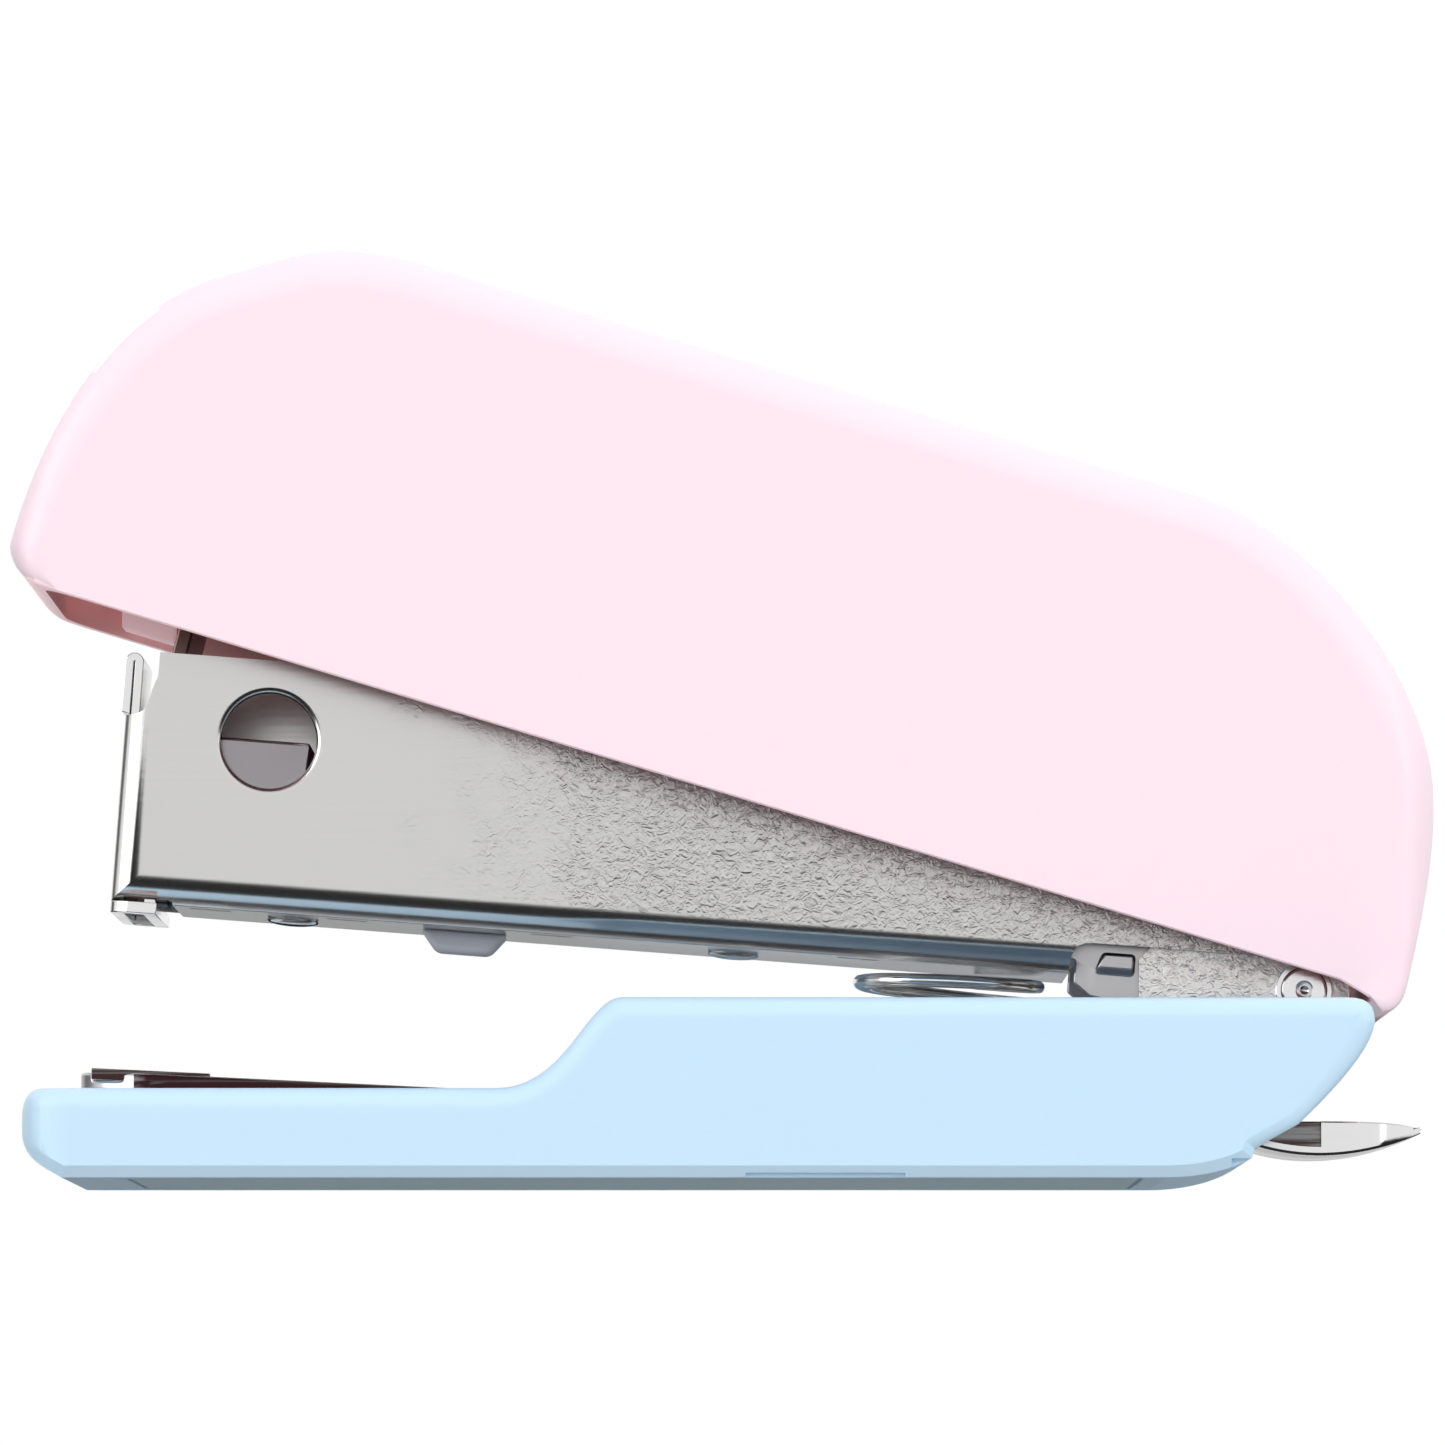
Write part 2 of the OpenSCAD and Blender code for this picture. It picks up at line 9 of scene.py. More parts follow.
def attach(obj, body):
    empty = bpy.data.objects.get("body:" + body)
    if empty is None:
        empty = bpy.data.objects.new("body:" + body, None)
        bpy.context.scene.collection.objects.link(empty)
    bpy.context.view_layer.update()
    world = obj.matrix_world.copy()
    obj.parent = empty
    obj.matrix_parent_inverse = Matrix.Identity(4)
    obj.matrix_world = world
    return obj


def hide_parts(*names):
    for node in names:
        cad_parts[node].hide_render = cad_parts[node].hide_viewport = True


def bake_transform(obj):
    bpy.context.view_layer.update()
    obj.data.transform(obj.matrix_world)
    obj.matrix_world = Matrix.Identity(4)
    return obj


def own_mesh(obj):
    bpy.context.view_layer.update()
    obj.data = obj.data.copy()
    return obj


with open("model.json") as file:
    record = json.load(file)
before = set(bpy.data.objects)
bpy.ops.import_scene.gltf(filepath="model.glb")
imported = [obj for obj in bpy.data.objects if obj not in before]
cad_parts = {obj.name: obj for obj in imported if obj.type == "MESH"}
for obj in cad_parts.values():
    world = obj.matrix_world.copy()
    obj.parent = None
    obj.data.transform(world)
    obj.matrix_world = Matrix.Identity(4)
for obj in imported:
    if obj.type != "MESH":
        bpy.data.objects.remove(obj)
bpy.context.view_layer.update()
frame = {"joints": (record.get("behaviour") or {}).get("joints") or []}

millimetre = 0.001
# degrees: how far the magazine leans at rest, and how far the driver arm leans on from it
magazineTilt = 4.33
armTilt = 9.9
pinPlace = [v / millimetre for v in next(j for j in frame["joints"] if j["name"] == "cover_pivot")["pos_m"]]

# ---- camera, world and floor come first


def makeCamera():
    view = {"elevation": 3.24, "distance": 0.593, "nearFace": -0.013, "aimHeight": 0.01966, "lens": 342.0}
    tilt = math.radians(view["elevation"])
    data = bpy.data.cameras.new("studioCamera")
    data.lens = view["lens"]
    data.sensor_width = 36
    data.clip_start = 0.01
    camera = bpy.data.objects.new("studioCamera", data)
    drop = view["distance"] * math.tan(tilt)
    camera.location = (0, view["nearFace"] - view["distance"], view["aimHeight"] - drop)
    camera.rotation_euler = (math.radians(90) + tilt, 0, 0)
    bpy.context.scene.collection.objects.link(camera)
    bpy.context.scene.camera = camera
    bpy.context.scene.view_settings.view_transform = "Standard"
    print("camera ready")


def nodeIn(tree, kind, place=(0, 0), **settings):
    node = tree.nodes.new(kind)
    node.location = place
    for name, value in settings.items():
        setattr(node, name, value)
    return node


def mathIn(tree, operation, first, second, place=(0, 0)):
    node = nodeIn(tree, "ShaderNodeMath", place, operation=operation)
    for slot, value in zip(node.inputs, (first, second)):
        if isinstance(value, (int, float)):
            slot.default_value = value
        else:
            tree.links.new(value, slot)
    return node.outputs[0]


def makeWorld():
    # bright from the horizon up and dark below it, but for a pale patch straight down; the camera
    # sees plain white instead
    sky = {
        "seen": 1.0, "strength": 1.0,
        "stops": ((0.0, 0.60), (0.02, 0.50), (0.06, 0.03), (0.44, 0.015), (0.475, 0.9), (0.62, 0.95),
                  (0.92, 0.66)),
        "card": (-0.72, 0.69, 0.0), "cardFrom": 0.93, "cardTo": 0.985, "cardLight": 0.12,
    }
    world = bpy.data.worlds.new("studioWorld")
    world.use_nodes = True
    tree = world.node_tree
    tree.nodes.clear()
    coords = nodeIn(tree, "ShaderNodeTexCoord", (-900, 0))
    split = nodeIn(tree, "ShaderNodeSeparateXYZ", (-700, 0))
    lift = nodeIn(tree, "ShaderNodeMath", (-600, 150), operation="MULTIPLY_ADD")
    lift.inputs[1].default_value = 0.5
    lift.inputs[2].default_value = 0.5
    ramp = nodeIn(tree, "ShaderNodeValToRGB", (-500, 0))
    stops = ramp.color_ramp.elements
    for stop, (place, value) in zip(stops, (sky["stops"][0], sky["stops"][-1])):
        stop.position = place
        stop.color = [value] * 3 + [1]
    for place, value in sky["stops"][1:-1]:
        stops.new(place).color = [value] * 3 + [1]
    lit = nodeIn(tree, "ShaderNodeBackground", (-200, 0))
    lit.inputs["Strength"].default_value = sky["strength"]
    seen = nodeIn(tree, "ShaderNodeBackground", (-200, -150))
    seen.inputs["Color"].default_value = [sky["seen"]] * 3 + [1]
    path = nodeIn(tree, "ShaderNodeLightPath", (-200, 300))
    mix = nodeIn(tree, "ShaderNodeMixShader", (0, 0))
    out = nodeIn(tree, "ShaderNodeOutputWorld", (200, 0))
    tree.links.new(coords.outputs["Generated"], split.inputs[0])
    tree.links.new(split.outputs["Z"], lift.inputs[0])
    tree.links.new(lift.outputs[0], ramp.inputs[0])
    # a dark card behind the nose draws a line down the bent corner
    near = nodeIn(tree, "ShaderNodeVectorMath", (-700, -200), operation="DOT_PRODUCT")
    near.inputs[1].default_value = sky["card"]
    tree.links.new(coords.outputs["Generated"], near.inputs[0])
    card = nodeIn(tree, "ShaderNodeMapRange", (-500, -250), interpolation_type="SMOOTHSTEP")
    tree.links.new(near.outputs["Value"], card.inputs["Value"])
    card.inputs["From Min"].default_value = sky["cardFrom"]
    card.inputs["From Max"].default_value = sky["cardTo"]
    dim = nodeIn(tree, "ShaderNodeMix", (-350, -100), data_type="RGBA")
    tree.links.new(card.outputs["Result"], dim.inputs[0])
    tree.links.new(ramp.outputs[0], dim.inputs[6])
    dim.inputs[7].default_value = [sky["cardLight"]] * 3 + [1]
    tree.links.new(dim.outputs[2], lit.inputs["Color"])
    tree.links.new(path.outputs["Is Camera Ray"], mix.inputs[0])
    tree.links.new(lit.outputs[0], mix.inputs[1])
    tree.links.new(seen.outputs[0], mix.inputs[2])
    tree.links.new(mix.outputs[0], out.inputs[0])
    bpy.context.scene.world = world


def makeLight(name, place, size, watts, reflected):
    middle = Vector((0, 0, 0.02))
    data = bpy.data.lights.new(name, "AREA")
    data.shape = "RECTANGLE"
    data.size, data.size_y = size
    data.energy = watts
    light = bpy.data.objects.new(name, data)
    light.location = place
    light.rotation_euler = (middle - Vector(place)).to_track_quat("-Z", "Y").to_euler()
    light.visible_glossy = reflected
    light.visible_diffuse = not reflected
    bpy.context.scene.collection.objects.link(light)


def makeLights():
    # the panels give light and aren't reflected; the strips only show in reflections
    panels = {
        "panelFront": {"place": (-0.12, -0.72, 0.33), "size": (0.9, 0.6), "watts": 2.3},
        "panelBack": {"place": (0.15, 0.66, 0.46), "size": (0.9, 0.6), "watts": 2.8},
        "panelBelow": {"place": (0.0, -0.25, -0.7), "size": (0.9, 0.9), "watts": 3.3},
        "panelRight": {"place": (0.66, -0.26, 0.22), "size": (0.5, 0.5), "watts": 2.1},
        "panelLeft": {"place": (-0.66, -0.2, 0.3), "size": (0.5, 0.5), "watts": 1.4},
    }
    strips = {
        "stripLeft": {"place": (-0.46, -0.16, 0.12), "size": (0.42, 0.5), "watts": 1.25},
        "stripRight": {"place": (0.46, -0.24, 0.22), "size": (0.05, 0.5), "watts": 0.26},
    }
    for name, light in panels.items():
        makeLight(name, **light, reflected=False)
    for name, light in strips.items():
        makeLight(name, **light, reflected=True)
    print("lights ready")


def makeFloor():
    look = {"size": 1.2, "tone": 0.86, "rough": 0.8}
    bm = bmesh.new()
    bmesh.ops.create_grid(bm, x_segments=1, y_segments=1, size=look["size"])
    mesh = bpy.data.meshes.new("floor")
    bm.to_mesh(mesh)
    bm.free()
    floor = bpy.data.objects.new("floor", mesh)
    bpy.context.scene.collection.objects.link(floor)
    material = bpy.data.materials.new("paleFloor")
    material.use_nodes = True
    tree = material.node_tree
    skin = tree.nodes["Principled BSDF"]
    skin.inputs["Roughness"].default_value = look["rough"]
    skin.inputs["Base Color"].default_value = [look["tone"]] * 3 + [1]
    # the camera sees it from above only; other rays go through, so the part is lit from all round
    clear = nodeIn(tree, "ShaderNodeBsdfTransparent", (0, 200))
    side = nodeIn(tree, "ShaderNodeNewGeometry", (-300, 400))
    path = nodeIn(tree, "ShaderNodeLightPath", (-300, 100))
    front = mathIn(tree, "SUBTRACT", path.outputs["Is Camera Ray"], side.outputs["Backfacing"], (0, 350))
    mix = nodeIn(tree, "ShaderNodeMixShader", (300, 200))
    tree.links.new(front, mix.inputs[0])
    tree.links.new(clear.outputs[0], mix.inputs[1])
    tree.links.new(skin.outputs[0], mix.inputs[2])
    tree.links.new(mix.outputs[0], tree.nodes["Material Output"].inputs[0])
    mesh.materials.append(material)


makeCamera()
makeWorld()
makeLights()
makeFloor()

# ---- shader groups shared by the materials


def newGroup(name, inputs, outputs):
    group = bpy.data.node_groups.new(name, "ShaderNodeTree")
    for label, value in inputs.items():
        socket = group.interface.new_socket(label, in_out="INPUT", socket_type="NodeSocketFloat")
        socket.default_value = value
    for label in outputs:
        group.interface.new_socket(label, in_out="OUTPUT", socket_type="NodeSocketFloat")
    entry = nodeIn(group, "NodeGroupInput", (-900, 0))
    leave = nodeIn(group, "NodeGroupOutput", (600, 0))
    return group, entry, leave


def noiseIn(tree, scale, detail, place, distortion=0.0, rough=0.5):
    coords = nodeIn(tree, "ShaderNodeTexCoord", (place[0] - 200, place[1]))
    noise = nodeIn(tree, "ShaderNodeTexNoise", place)
    noise.inputs["Detail"].default_value = detail
    noise.inputs["Distortion"].default_value = distortion
    noise.inputs["Roughness"].default_value = rough
    tree.links.new(coords.outputs["Object"], noise.inputs["Vector"])
    if isinstance(scale, (int, float)):
        noise.inputs["Scale"].default_value = scale
    else:
        tree.links.new(scale, noise.inputs["Scale"])
    return noise.outputs["Fac"]


def rampIn(tree, source, low, high, place=(0, 0)):
    node = nodeIn(tree, "ShaderNodeMapRange", place, interpolation_type="SMOOTHSTEP")
    node.inputs["From Min"].default_value = low
    node.inputs["From Max"].default_value = high
    tree.links.new(source, node.inputs["Value"])
    return node.outputs["Result"]


def makeGrainGroup():
    # fine moulded grain with slow changes of tone
    patches = (0.3, 0.7)
    group, entry, leave = newGroup("mouldGrain", {"Scale": 5000, "Patch Scale": 60}, ["Height", "Patches"])
    fine = noiseIn(group, entry.outputs["Scale"], 3, (-300, 200))
    slow = noiseIn(group, entry.outputs["Patch Scale"], 2, (-300, -200))
    group.links.new(fine, leave.inputs["Height"])
    group.links.new(rampIn(group, slow, *patches, (0, -200)), leave.inputs["Patches"])
    return group


def makeEdgeGroup():
    # worn edges, broken up by noise; on the metals the lighter edge is also a painted highlight
    limits = {"edge": (0.53, 0.62), "turn": (0.0002, 0.004), "rub": (0.35, 0.6)}
    group, entry, leave = newGroup("edgeWear", {"Scale": 900}, ["Mask"])
    shape = nodeIn(group, "ShaderNodeNewGeometry", (-600, 200))
    edge = rampIn(group, shape.outputs["Pointiness"], *limits["edge"], (-300, 200))
    # only where the surface turns: flat faces stay clean however large their triangles are
    turning = nodeIn(group, "ShaderNodeVectorMath", (-500, 450), operation="DOT_PRODUCT")
    group.links.new(shape.outputs["Normal"], turning.inputs[0])
    group.links.new(shape.outputs["True Normal"], turning.inputs[1])
    away = mathIn(group, "SUBTRACT", 1.0, turning.outputs["Value"])
    bent = rampIn(group, away, *limits["turn"], (-300, 450))
    edge = mathIn(group, "MULTIPLY", edge, bent)
    cloud = noiseIn(group, entry.outputs["Scale"], 2, (-500, -100))
    rub = rampIn(group, cloud, *limits["rub"], (-200, -100))
    group.links.new(mathIn(group, "MULTIPLY", edge, rub), leave.inputs["Mask"])
    return group


def makePeelGroup():
    # crinkled plating that fades in along the length, from Start to End
    look = {"fade": 1.25, "wideScale": 420, "patch": (0.5, 1.45), "fold": (0.0, 0.0003),
            "ridge": 4.0, "pits": (0.53, 0.66)}
    group, entry, leave = newGroup(
        "crinkledPlate", {"Start": -0.013, "End": 0.0, "Lean": 0.0, "Floor": -1.0, "Scale": 2600},
        ["Height", "Pits", "Mask"])
    coords = nodeIn(group, "ShaderNodeTexCoord", (-900, 300))
    split = nodeIn(group, "ShaderNodeSeparateXYZ", (-700, 300))
    group.links.new(coords.outputs["Object"], split.inputs[0])
    along = nodeIn(group, "ShaderNodeMapRange", (-500, 300), interpolation_type="SMOOTHSTEP")
    group.links.new(split.outputs["X"], along.inputs["Value"])
    group.links.new(entry.outputs["Start"], along.inputs["From Min"])
    group.links.new(entry.outputs["End"], along.inputs["From Max"])
    worm = noiseIn(group, entry.outputs["Scale"], 2.2, (-500, -50), 0.9, 0.55)
    wide = noiseIn(group, look["wideScale"], 2, (-500, -300))
    spread = mathIn(group, "ADD", mathIn(group, "MULTIPLY", along.outputs[0], look["fade"]), wide)
    patch = rampIn(group, spread, *look["patch"])
    # nothing below the line Z + Lean * X = Floor, where the sheet bends under
    leaning = mathIn(group, "MULTIPLY", split.outputs["X"], entry.outputs["Lean"])
    level = mathIn(group, "ADD", split.outputs["Z"], leaning)
    above = mathIn(group, "SUBTRACT", level, entry.outputs["Floor"])
    patch = mathIn(group, "MULTIPLY", patch, rampIn(group, above, *look["fold"]))
    ridge = mathIn(group, "ABSOLUTE", mathIn(group, "SUBTRACT", worm, 0.5), 0)
    height = mathIn(group, "MULTIPLY", mathIn(group, "MULTIPLY", ridge, look["ridge"]), patch, (300, 0))
    pits = mathIn(group, "MULTIPLY", rampIn(group, worm, *look["pits"]), patch)
    group.links.new(height, leave.inputs["Height"])
    group.links.new(pits, leave.inputs["Pits"])
    group.links.new(patch, leave.inputs["Mask"])
    return group


def makeSmudgeGroup():
    # handling marks and faint rolling lines on bare metal
    look = {"lineScale": (60, 4000, 4000), "cloud": (0.35, 0.7)}
    group, entry, leave = newGroup("smudges", {"Scale": 120}, ["Mask", "Lines"])
    cloud = noiseIn(group, entry.outputs["Scale"], 4, (-400, 200), 0.3)
    coords = nodeIn(group, "ShaderNodeTexCoord", (-800, -200))
    stretch = nodeIn(group, "ShaderNodeMapping", (-600, -200))
    stretch.inputs["Scale"].default_value = look["lineScale"]
    lines = nodeIn(group, "ShaderNodeTexNoise", (-400, -200))
    lines.inputs["Scale"].default_value = 1
    lines.inputs["Detail"].default_value = 2
    group.links.new(coords.outputs["Object"], stretch.inputs["Vector"])
    group.links.new(stretch.outputs["Vector"], lines.inputs["Vector"])
    group.links.new(rampIn(group, cloud, *look["cloud"]), leave.inputs["Mask"])
    group.links.new(lines.outputs["Fac"], leave.inputs["Lines"])
    return group


grainGroup = makeGrainGroup()
edgeGroup = makeEdgeGroup()
peelGroup = makePeelGroup()
smudgeGroup = makeSmudgeGroup()

# ---- materials


def groupIn(tree, group, place, **values):
    node = nodeIn(tree, "ShaderNodeGroup", place, node_tree=group)
    for name, value in values.items():
        node.inputs[name.replace("_", " ")].default_value = value
    return node


def mixColour(tree, factor, first, second, place=(0, 0)):
    node = nodeIn(tree, "ShaderNodeMix", place, data_type="RGBA")
    for slot, value in ((0, factor), (6, first), (7, second)):
        if hasattr(value, "links"):
            tree.links.new(value, node.inputs[slot])
        elif slot == 0:
            node.inputs[0].default_value = value
        else:
            node.inputs[slot].default_value = (*value, 1)
    return node.outputs[2]


def bumpIn(tree, height, distance, strength, place, under=None):
    node = nodeIn(tree, "ShaderNodeBump", place)
    node.inputs["Distance"].default_value = distance
    node.inputs["Strength"].default_value = strength
    tree.links.new(height, node.inputs["Height"])
    if under is not None:
        tree.links.new(under, node.inputs["Normal"])
    return node.outputs["Normal"]


def plasticMaterial(name, colour, deep, worn, rough, soft=0.0, paintedInnerShadeAndGlow=None):
    look = {
        "grainScale": 5200, "grainDepth": 0.000006, "grainStrength": 0.6, "patchScale": 55, "toneShift": 0.3,
        "glossShift": 0.015, "edgeScale": 1100, "edgeShare": 0.35, "specular": 0.42,
        "softReach": (0.0012, 0.0008, 0.0007),
    }
    material = bpy.data.materials.new(name)
    material.use_nodes = True
    tree = material.node_tree
    skin = tree.nodes["Principled BSDF"]
    grain = groupIn(tree, grainGroup, (-700, 0), Scale=look["grainScale"], Patch_Scale=look["patchScale"])
    edge = groupIn(tree, edgeGroup, (-700, -300), Scale=look["edgeScale"])
    shift = mathIn(tree, "MULTIPLY", grain.outputs["Patches"], look["toneShift"])
    wear = mathIn(tree, "MULTIPLY", edge.outputs["Mask"], look["edgeShare"])
    rubbed = mixColour(tree, wear, mixColour(tree, shift, colour, deep), worn)
    gloss = mathIn(tree, "MULTIPLY_ADD", grain.outputs["Patches"], look["glossShift"])
    gloss.node.inputs[2].default_value = rough
    tree.links.new(gloss, skin.inputs["Roughness"])
    normal = bumpIn(tree, grain.outputs["Height"], look["grainDepth"], look["grainStrength"], (-300, -500))
    tree.links.new(normal, skin.inputs["Normal"])
    skin.inputs["Specular IOR Level"].default_value = look["specular"]
    if paintedInnerShadeAndGlow:
        # painted light and shade: a deeper tone painted on the inner faces for the shade in the hollow, and a
        # painted glow (emission) on the ribs and the hem's narrow face, standing in for light through the thin
        # wall
        shade = nodeIn(tree, "ShaderNodeAttribute", (-700, 300), attribute_name="shade")
        rubbed = mixColour(tree, shade.outputs["Fac"], rubbed, paintedInnerShadeAndGlow["tone"])
        paintedGlow = nodeIn(tree, "ShaderNodeAttribute", (-700, 500), attribute_name="paintedGlow")
        skin.inputs["Emission Color"].default_value = (*paintedInnerShadeAndGlow["paintedGlow"], 1)
        tree.links.new(paintedGlow.outputs["Fac"], skin.inputs["Emission Strength"])
    tree.links.new(rubbed, skin.inputs["Base Color"])
    if soft:
        skin.inputs["Subsurface Weight"].default_value = soft
        skin.inputs["Subsurface Radius"].default_value = look["softReach"]
        skin.inputs["Subsurface Scale"].default_value = 1.0
    return material


def steelMaterial(name, colour, dark, rough, crinkle=None, shaded=None):
    look = {
        "smudgeScale": 130, "smudgeTone": 0.08, "smudgeGloss": 0.04, "lineDepth": 0.000004,
        "lineStrength": 0.5, "edgeScale": 1500, "edgeShare": 0.7, "polishAndHighlight": 1.18, "peelScale": 2600,
        "peelDepth": 0.000013, "peelGloss": 0.05, "pitShare": 0.14, "pitTone": 0.42,
        "streak": (0.42, 0.66), "shadeStreak": 0.28,
    }
    material = bpy.data.materials.new(name)
    material.use_nodes = True
    tree = material.node_tree
    skin = tree.nodes["Principled BSDF"]
    skin.inputs["Metallic"].default_value = 1.0
    smudge = groupIn(tree, smudgeGroup, (-900, 0), Scale=look["smudgeScale"])
    edge = groupIn(tree, edgeGroup, (-900, -300), Scale=look["edgeScale"])
    marks = mathIn(tree, "MULTIPLY", smudge.outputs["Mask"], look["smudgeTone"])
    tone = mixColour(tree, marks, colour, dark)
    # lighter at the edges: wear, and a painted highlight along the sheet rims
    polishAndHighlight = [min(1.0, c * look["polishAndHighlight"]) for c in colour]
    tone = mixColour(tree, mathIn(tree, "MULTIPLY", edge.outputs["Mask"], look["edgeShare"]), tone, polishAndHighlight)
    normal = bumpIn(tree, smudge.outputs["Lines"], look["lineDepth"], look["lineStrength"], (-300, -500))
    matt, share = smudge.outputs["Mask"], look["smudgeGloss"]
    if crinkle:
        peel = groupIn(tree, peelGroup, (-900, 300), Scale=look["peelScale"], **crinkle)
        pits = mathIn(tree, "MULTIPLY", peel.outputs["Pits"], look["pitShare"])
        tone = mixColour(tree, pits, tone, [c * look["pitTone"] for c in dark])
        normal = bumpIn(tree, peel.outputs["Height"], look["peelDepth"], 1.0, (-100, -500), normal)
        matt, share = peel.outputs["Mask"], look["peelGloss"]
    gloss = mathIn(tree, "MULTIPLY_ADD", matt, share)
    gloss.node.inputs[2].default_value = rough
    if shaded:
        # painted shade: faces marked 'shade' are painted dark, streaked along their length, where they look
        # into the shade under the magazine and behind the base
        mark = nodeIn(tree, "ShaderNodeAttribute", (-900, 500), attribute_name="shade")
        streak = rampIn(tree, smudge.outputs["Lines"], *look["streak"], (-700, 500))
        shadeStreak = mixColour(tree, streak, shaded, [c * look["shadeStreak"] for c in colour], (-500, 500))
        tone = mixColour(tree, mark.outputs["Fac"], tone, shadeStreak)
    tree.links.new(tone, skin.inputs["Base Color"])
    tree.links.new(gloss, skin.inputs["Roughness"])
    tree.links.new(normal, skin.inputs["Normal"])
    return material


def makeMaterials():
    return {
        "pink": plasticMaterial(
            "pinkSatin", colour=(0.955, 0.765, 0.84), deep=(0.95, 0.76, 0.835), worn=(0.965, 0.80, 0.865),
            rough=0.36, soft=0.06, paintedInnerShadeAndGlow={"tone": (0.90, 0.52, 0.51), "paintedGlow": (0.30, 0.19, 0.195)}),
        "blue": plasticMaterial(
            "blueSatin", colour=(0.565, 0.775, 0.945), deep=(0.56, 0.77, 0.94), worn=(0.62, 0.81, 0.96),
            rough=0.36, soft=0.06),
        "pad": plasticMaterial(
            "padMatt", colour=(0.42, 0.55, 0.60), deep=(0.38, 0.51, 0.57), worn=(0.5, 0.63, 0.68),
            rough=0.55),
        "white": plasticMaterial(
            "paleBuffer", colour=(0.86, 0.84, 0.88), deep=(0.80, 0.78, 0.83), worn=(0.9, 0.9, 0.92),
            rough=0.4),
        "plate": steelMaterial(
            "platedSheet", colour=(0.72, 0.715, 0.705), dark=(0.65, 0.65, 0.64), rough=0.2,
            crinkle={"Start": -0.018, "End": 0.006, "Lean": 0.0757, "Floor": 0.01135}),
        # the bracket's steel is painted lighter than the other sheet steel: painted light on the ear that the
        # cover shades
        "bracket": steelMaterial(
            "crinkledSheetPaintedLighter", colour=(0.88, 0.87, 0.85), dark=(0.74, 0.73, 0.71), rough=0.22,
            crinkle={"Start": -0.02, "End": -0.01, "Lean": 0.0, "Floor": -1.0}),
        "smooth": steelMaterial(
            "innerSheet", colour=(0.60, 0.59, 0.60), dark=(0.52, 0.51, 0.53), rough=0.28,
            shaded=(0.045, 0.018, 0.02)),
        # a darker copy of the sheet steel for the pusher inside the magazine: painted shade
        "dimShadedSteel": steelMaterial("dimShadedSheet", colour=(0.44, 0.41, 0.435), dark=(0.34, 0.31, 0.33), rough=0.32),
        "bright": steelMaterial(
            "brightNickel", colour=(0.84, 0.84, 0.84), dark=(0.76, 0.76, 0.77), rough=0.12,
            shaded=(0.06, 0.03, 0.03)),
        "wire": steelMaterial("springWire", colour=(0.84, 0.85, 0.84), dark=(0.70, 0.71, 0.70), rough=0.13),
        "blade": steelMaterial("oiledBlade", colour=(0.20, 0.14, 0.12), dark=(0.13, 0.09, 0.08), rough=0.35),
    }


materials = makeMaterials()
print("materials ready:", len(materials))

# ---- modelling helpers; all shapes are drawn in millimetres and scaled at the end


def curve(a, b, c, d, steps=10):
    points = []
    for i in range(steps + 1):
        t = i / steps
        k = (1 - t) ** 3, 3 * t * (1 - t) ** 2, 3 * t * t * (1 - t), t ** 3
        points.append(tuple(sum(w * p[n] for w, p in zip(k, (a, b, c, d))) for n in (0, 1)))
    return points


def joined(*stretches):
    points = []
    for stretch in stretches:
        for point in stretch:
            if not points or math.dist(points[-1], point) > 0.01:
                points.append(point)
    return points


def slab(bm, outline, yFrom, yTo):
    # an outline in side view, given thickness across the body
    rim = [bm.verts.new((x, yFrom, z)) for x, z in outline]
    face = bm.faces.new(rim)
    grown = bmesh.ops.extrude_face_region(bm, geom=[face])
    tops = [v for v in grown["geom"] if isinstance(v, bmesh.types.BMVert)]
    bmesh.ops.translate(bm, verts=tops, vec=(0, yTo - yFrom, 0))
    return rim + tops


def insetOutline(points, depths):
    # every corner of a closed outline, drawn clockwise, moved inward by its own depth
    moved = []
    for i, point in enumerate(points):
        here = Vector(point)
        before = (here - Vector(points[i - 1])).normalized()
        after = (Vector(points[(i + 1) % len(points)]) - here).normalized()
        inward = Vector((before.y + after.y, -before.x - after.x))
        if inward.length < 0.01:
            moved.append(point)
            continue
        inward.normalize()
        reach = depths[i] / max(0.5, inward.dot(Vector((before.y, -before.x))))
        moved.append((here.x + inward.x * reach, here.y + inward.y * reach))
    return moved


def capEnd(bm, ring):
    # the normal comes first: without it a hollow outline is filled past its edge
    cap = bm.faces.new(ring)
    cap.normal_update()
    bmesh.ops.triangulate(bm, faces=[cap])


def rimmed(bm, outline, half, depths, flat=(), steps=6):
    # a slab in side view with rounded rims; corners listed in flat get a chamfer instead
    rings = [(-1, k) for k in range(steps + 1)] + [(1, k) for k in range(steps, -1, -1)]
    last = None
    for side, k in rings:
        phi = math.radians(90 * k / steps)
        pairs = [(1 - k / steps, k / steps) if i in flat else (1 - math.sin(phi), 1 - math.cos(phi))
                 for i in range(len(outline))]
        shell = insetOutline(outline, [d * pair[0] for d, pair in zip(depths, pairs)])
        ring = [bm.verts.new((x, side * (half - d * pair[1]), z))
                for (x, z), d, pair in zip(shell, depths, pairs)]
        if last is None:
            capEnd(bm, ring)
        else:
            for i in range(len(ring)):
                bm.faces.new((last[i - 1], last[i], ring[i], ring[i - 1]))
        last = ring
    capEnd(bm, last)
    bmesh.ops.remove_doubles(bm, verts=bm.verts, dist=0.0005)
    bmesh.ops.recalc_face_normals(bm, faces=bm.faces)


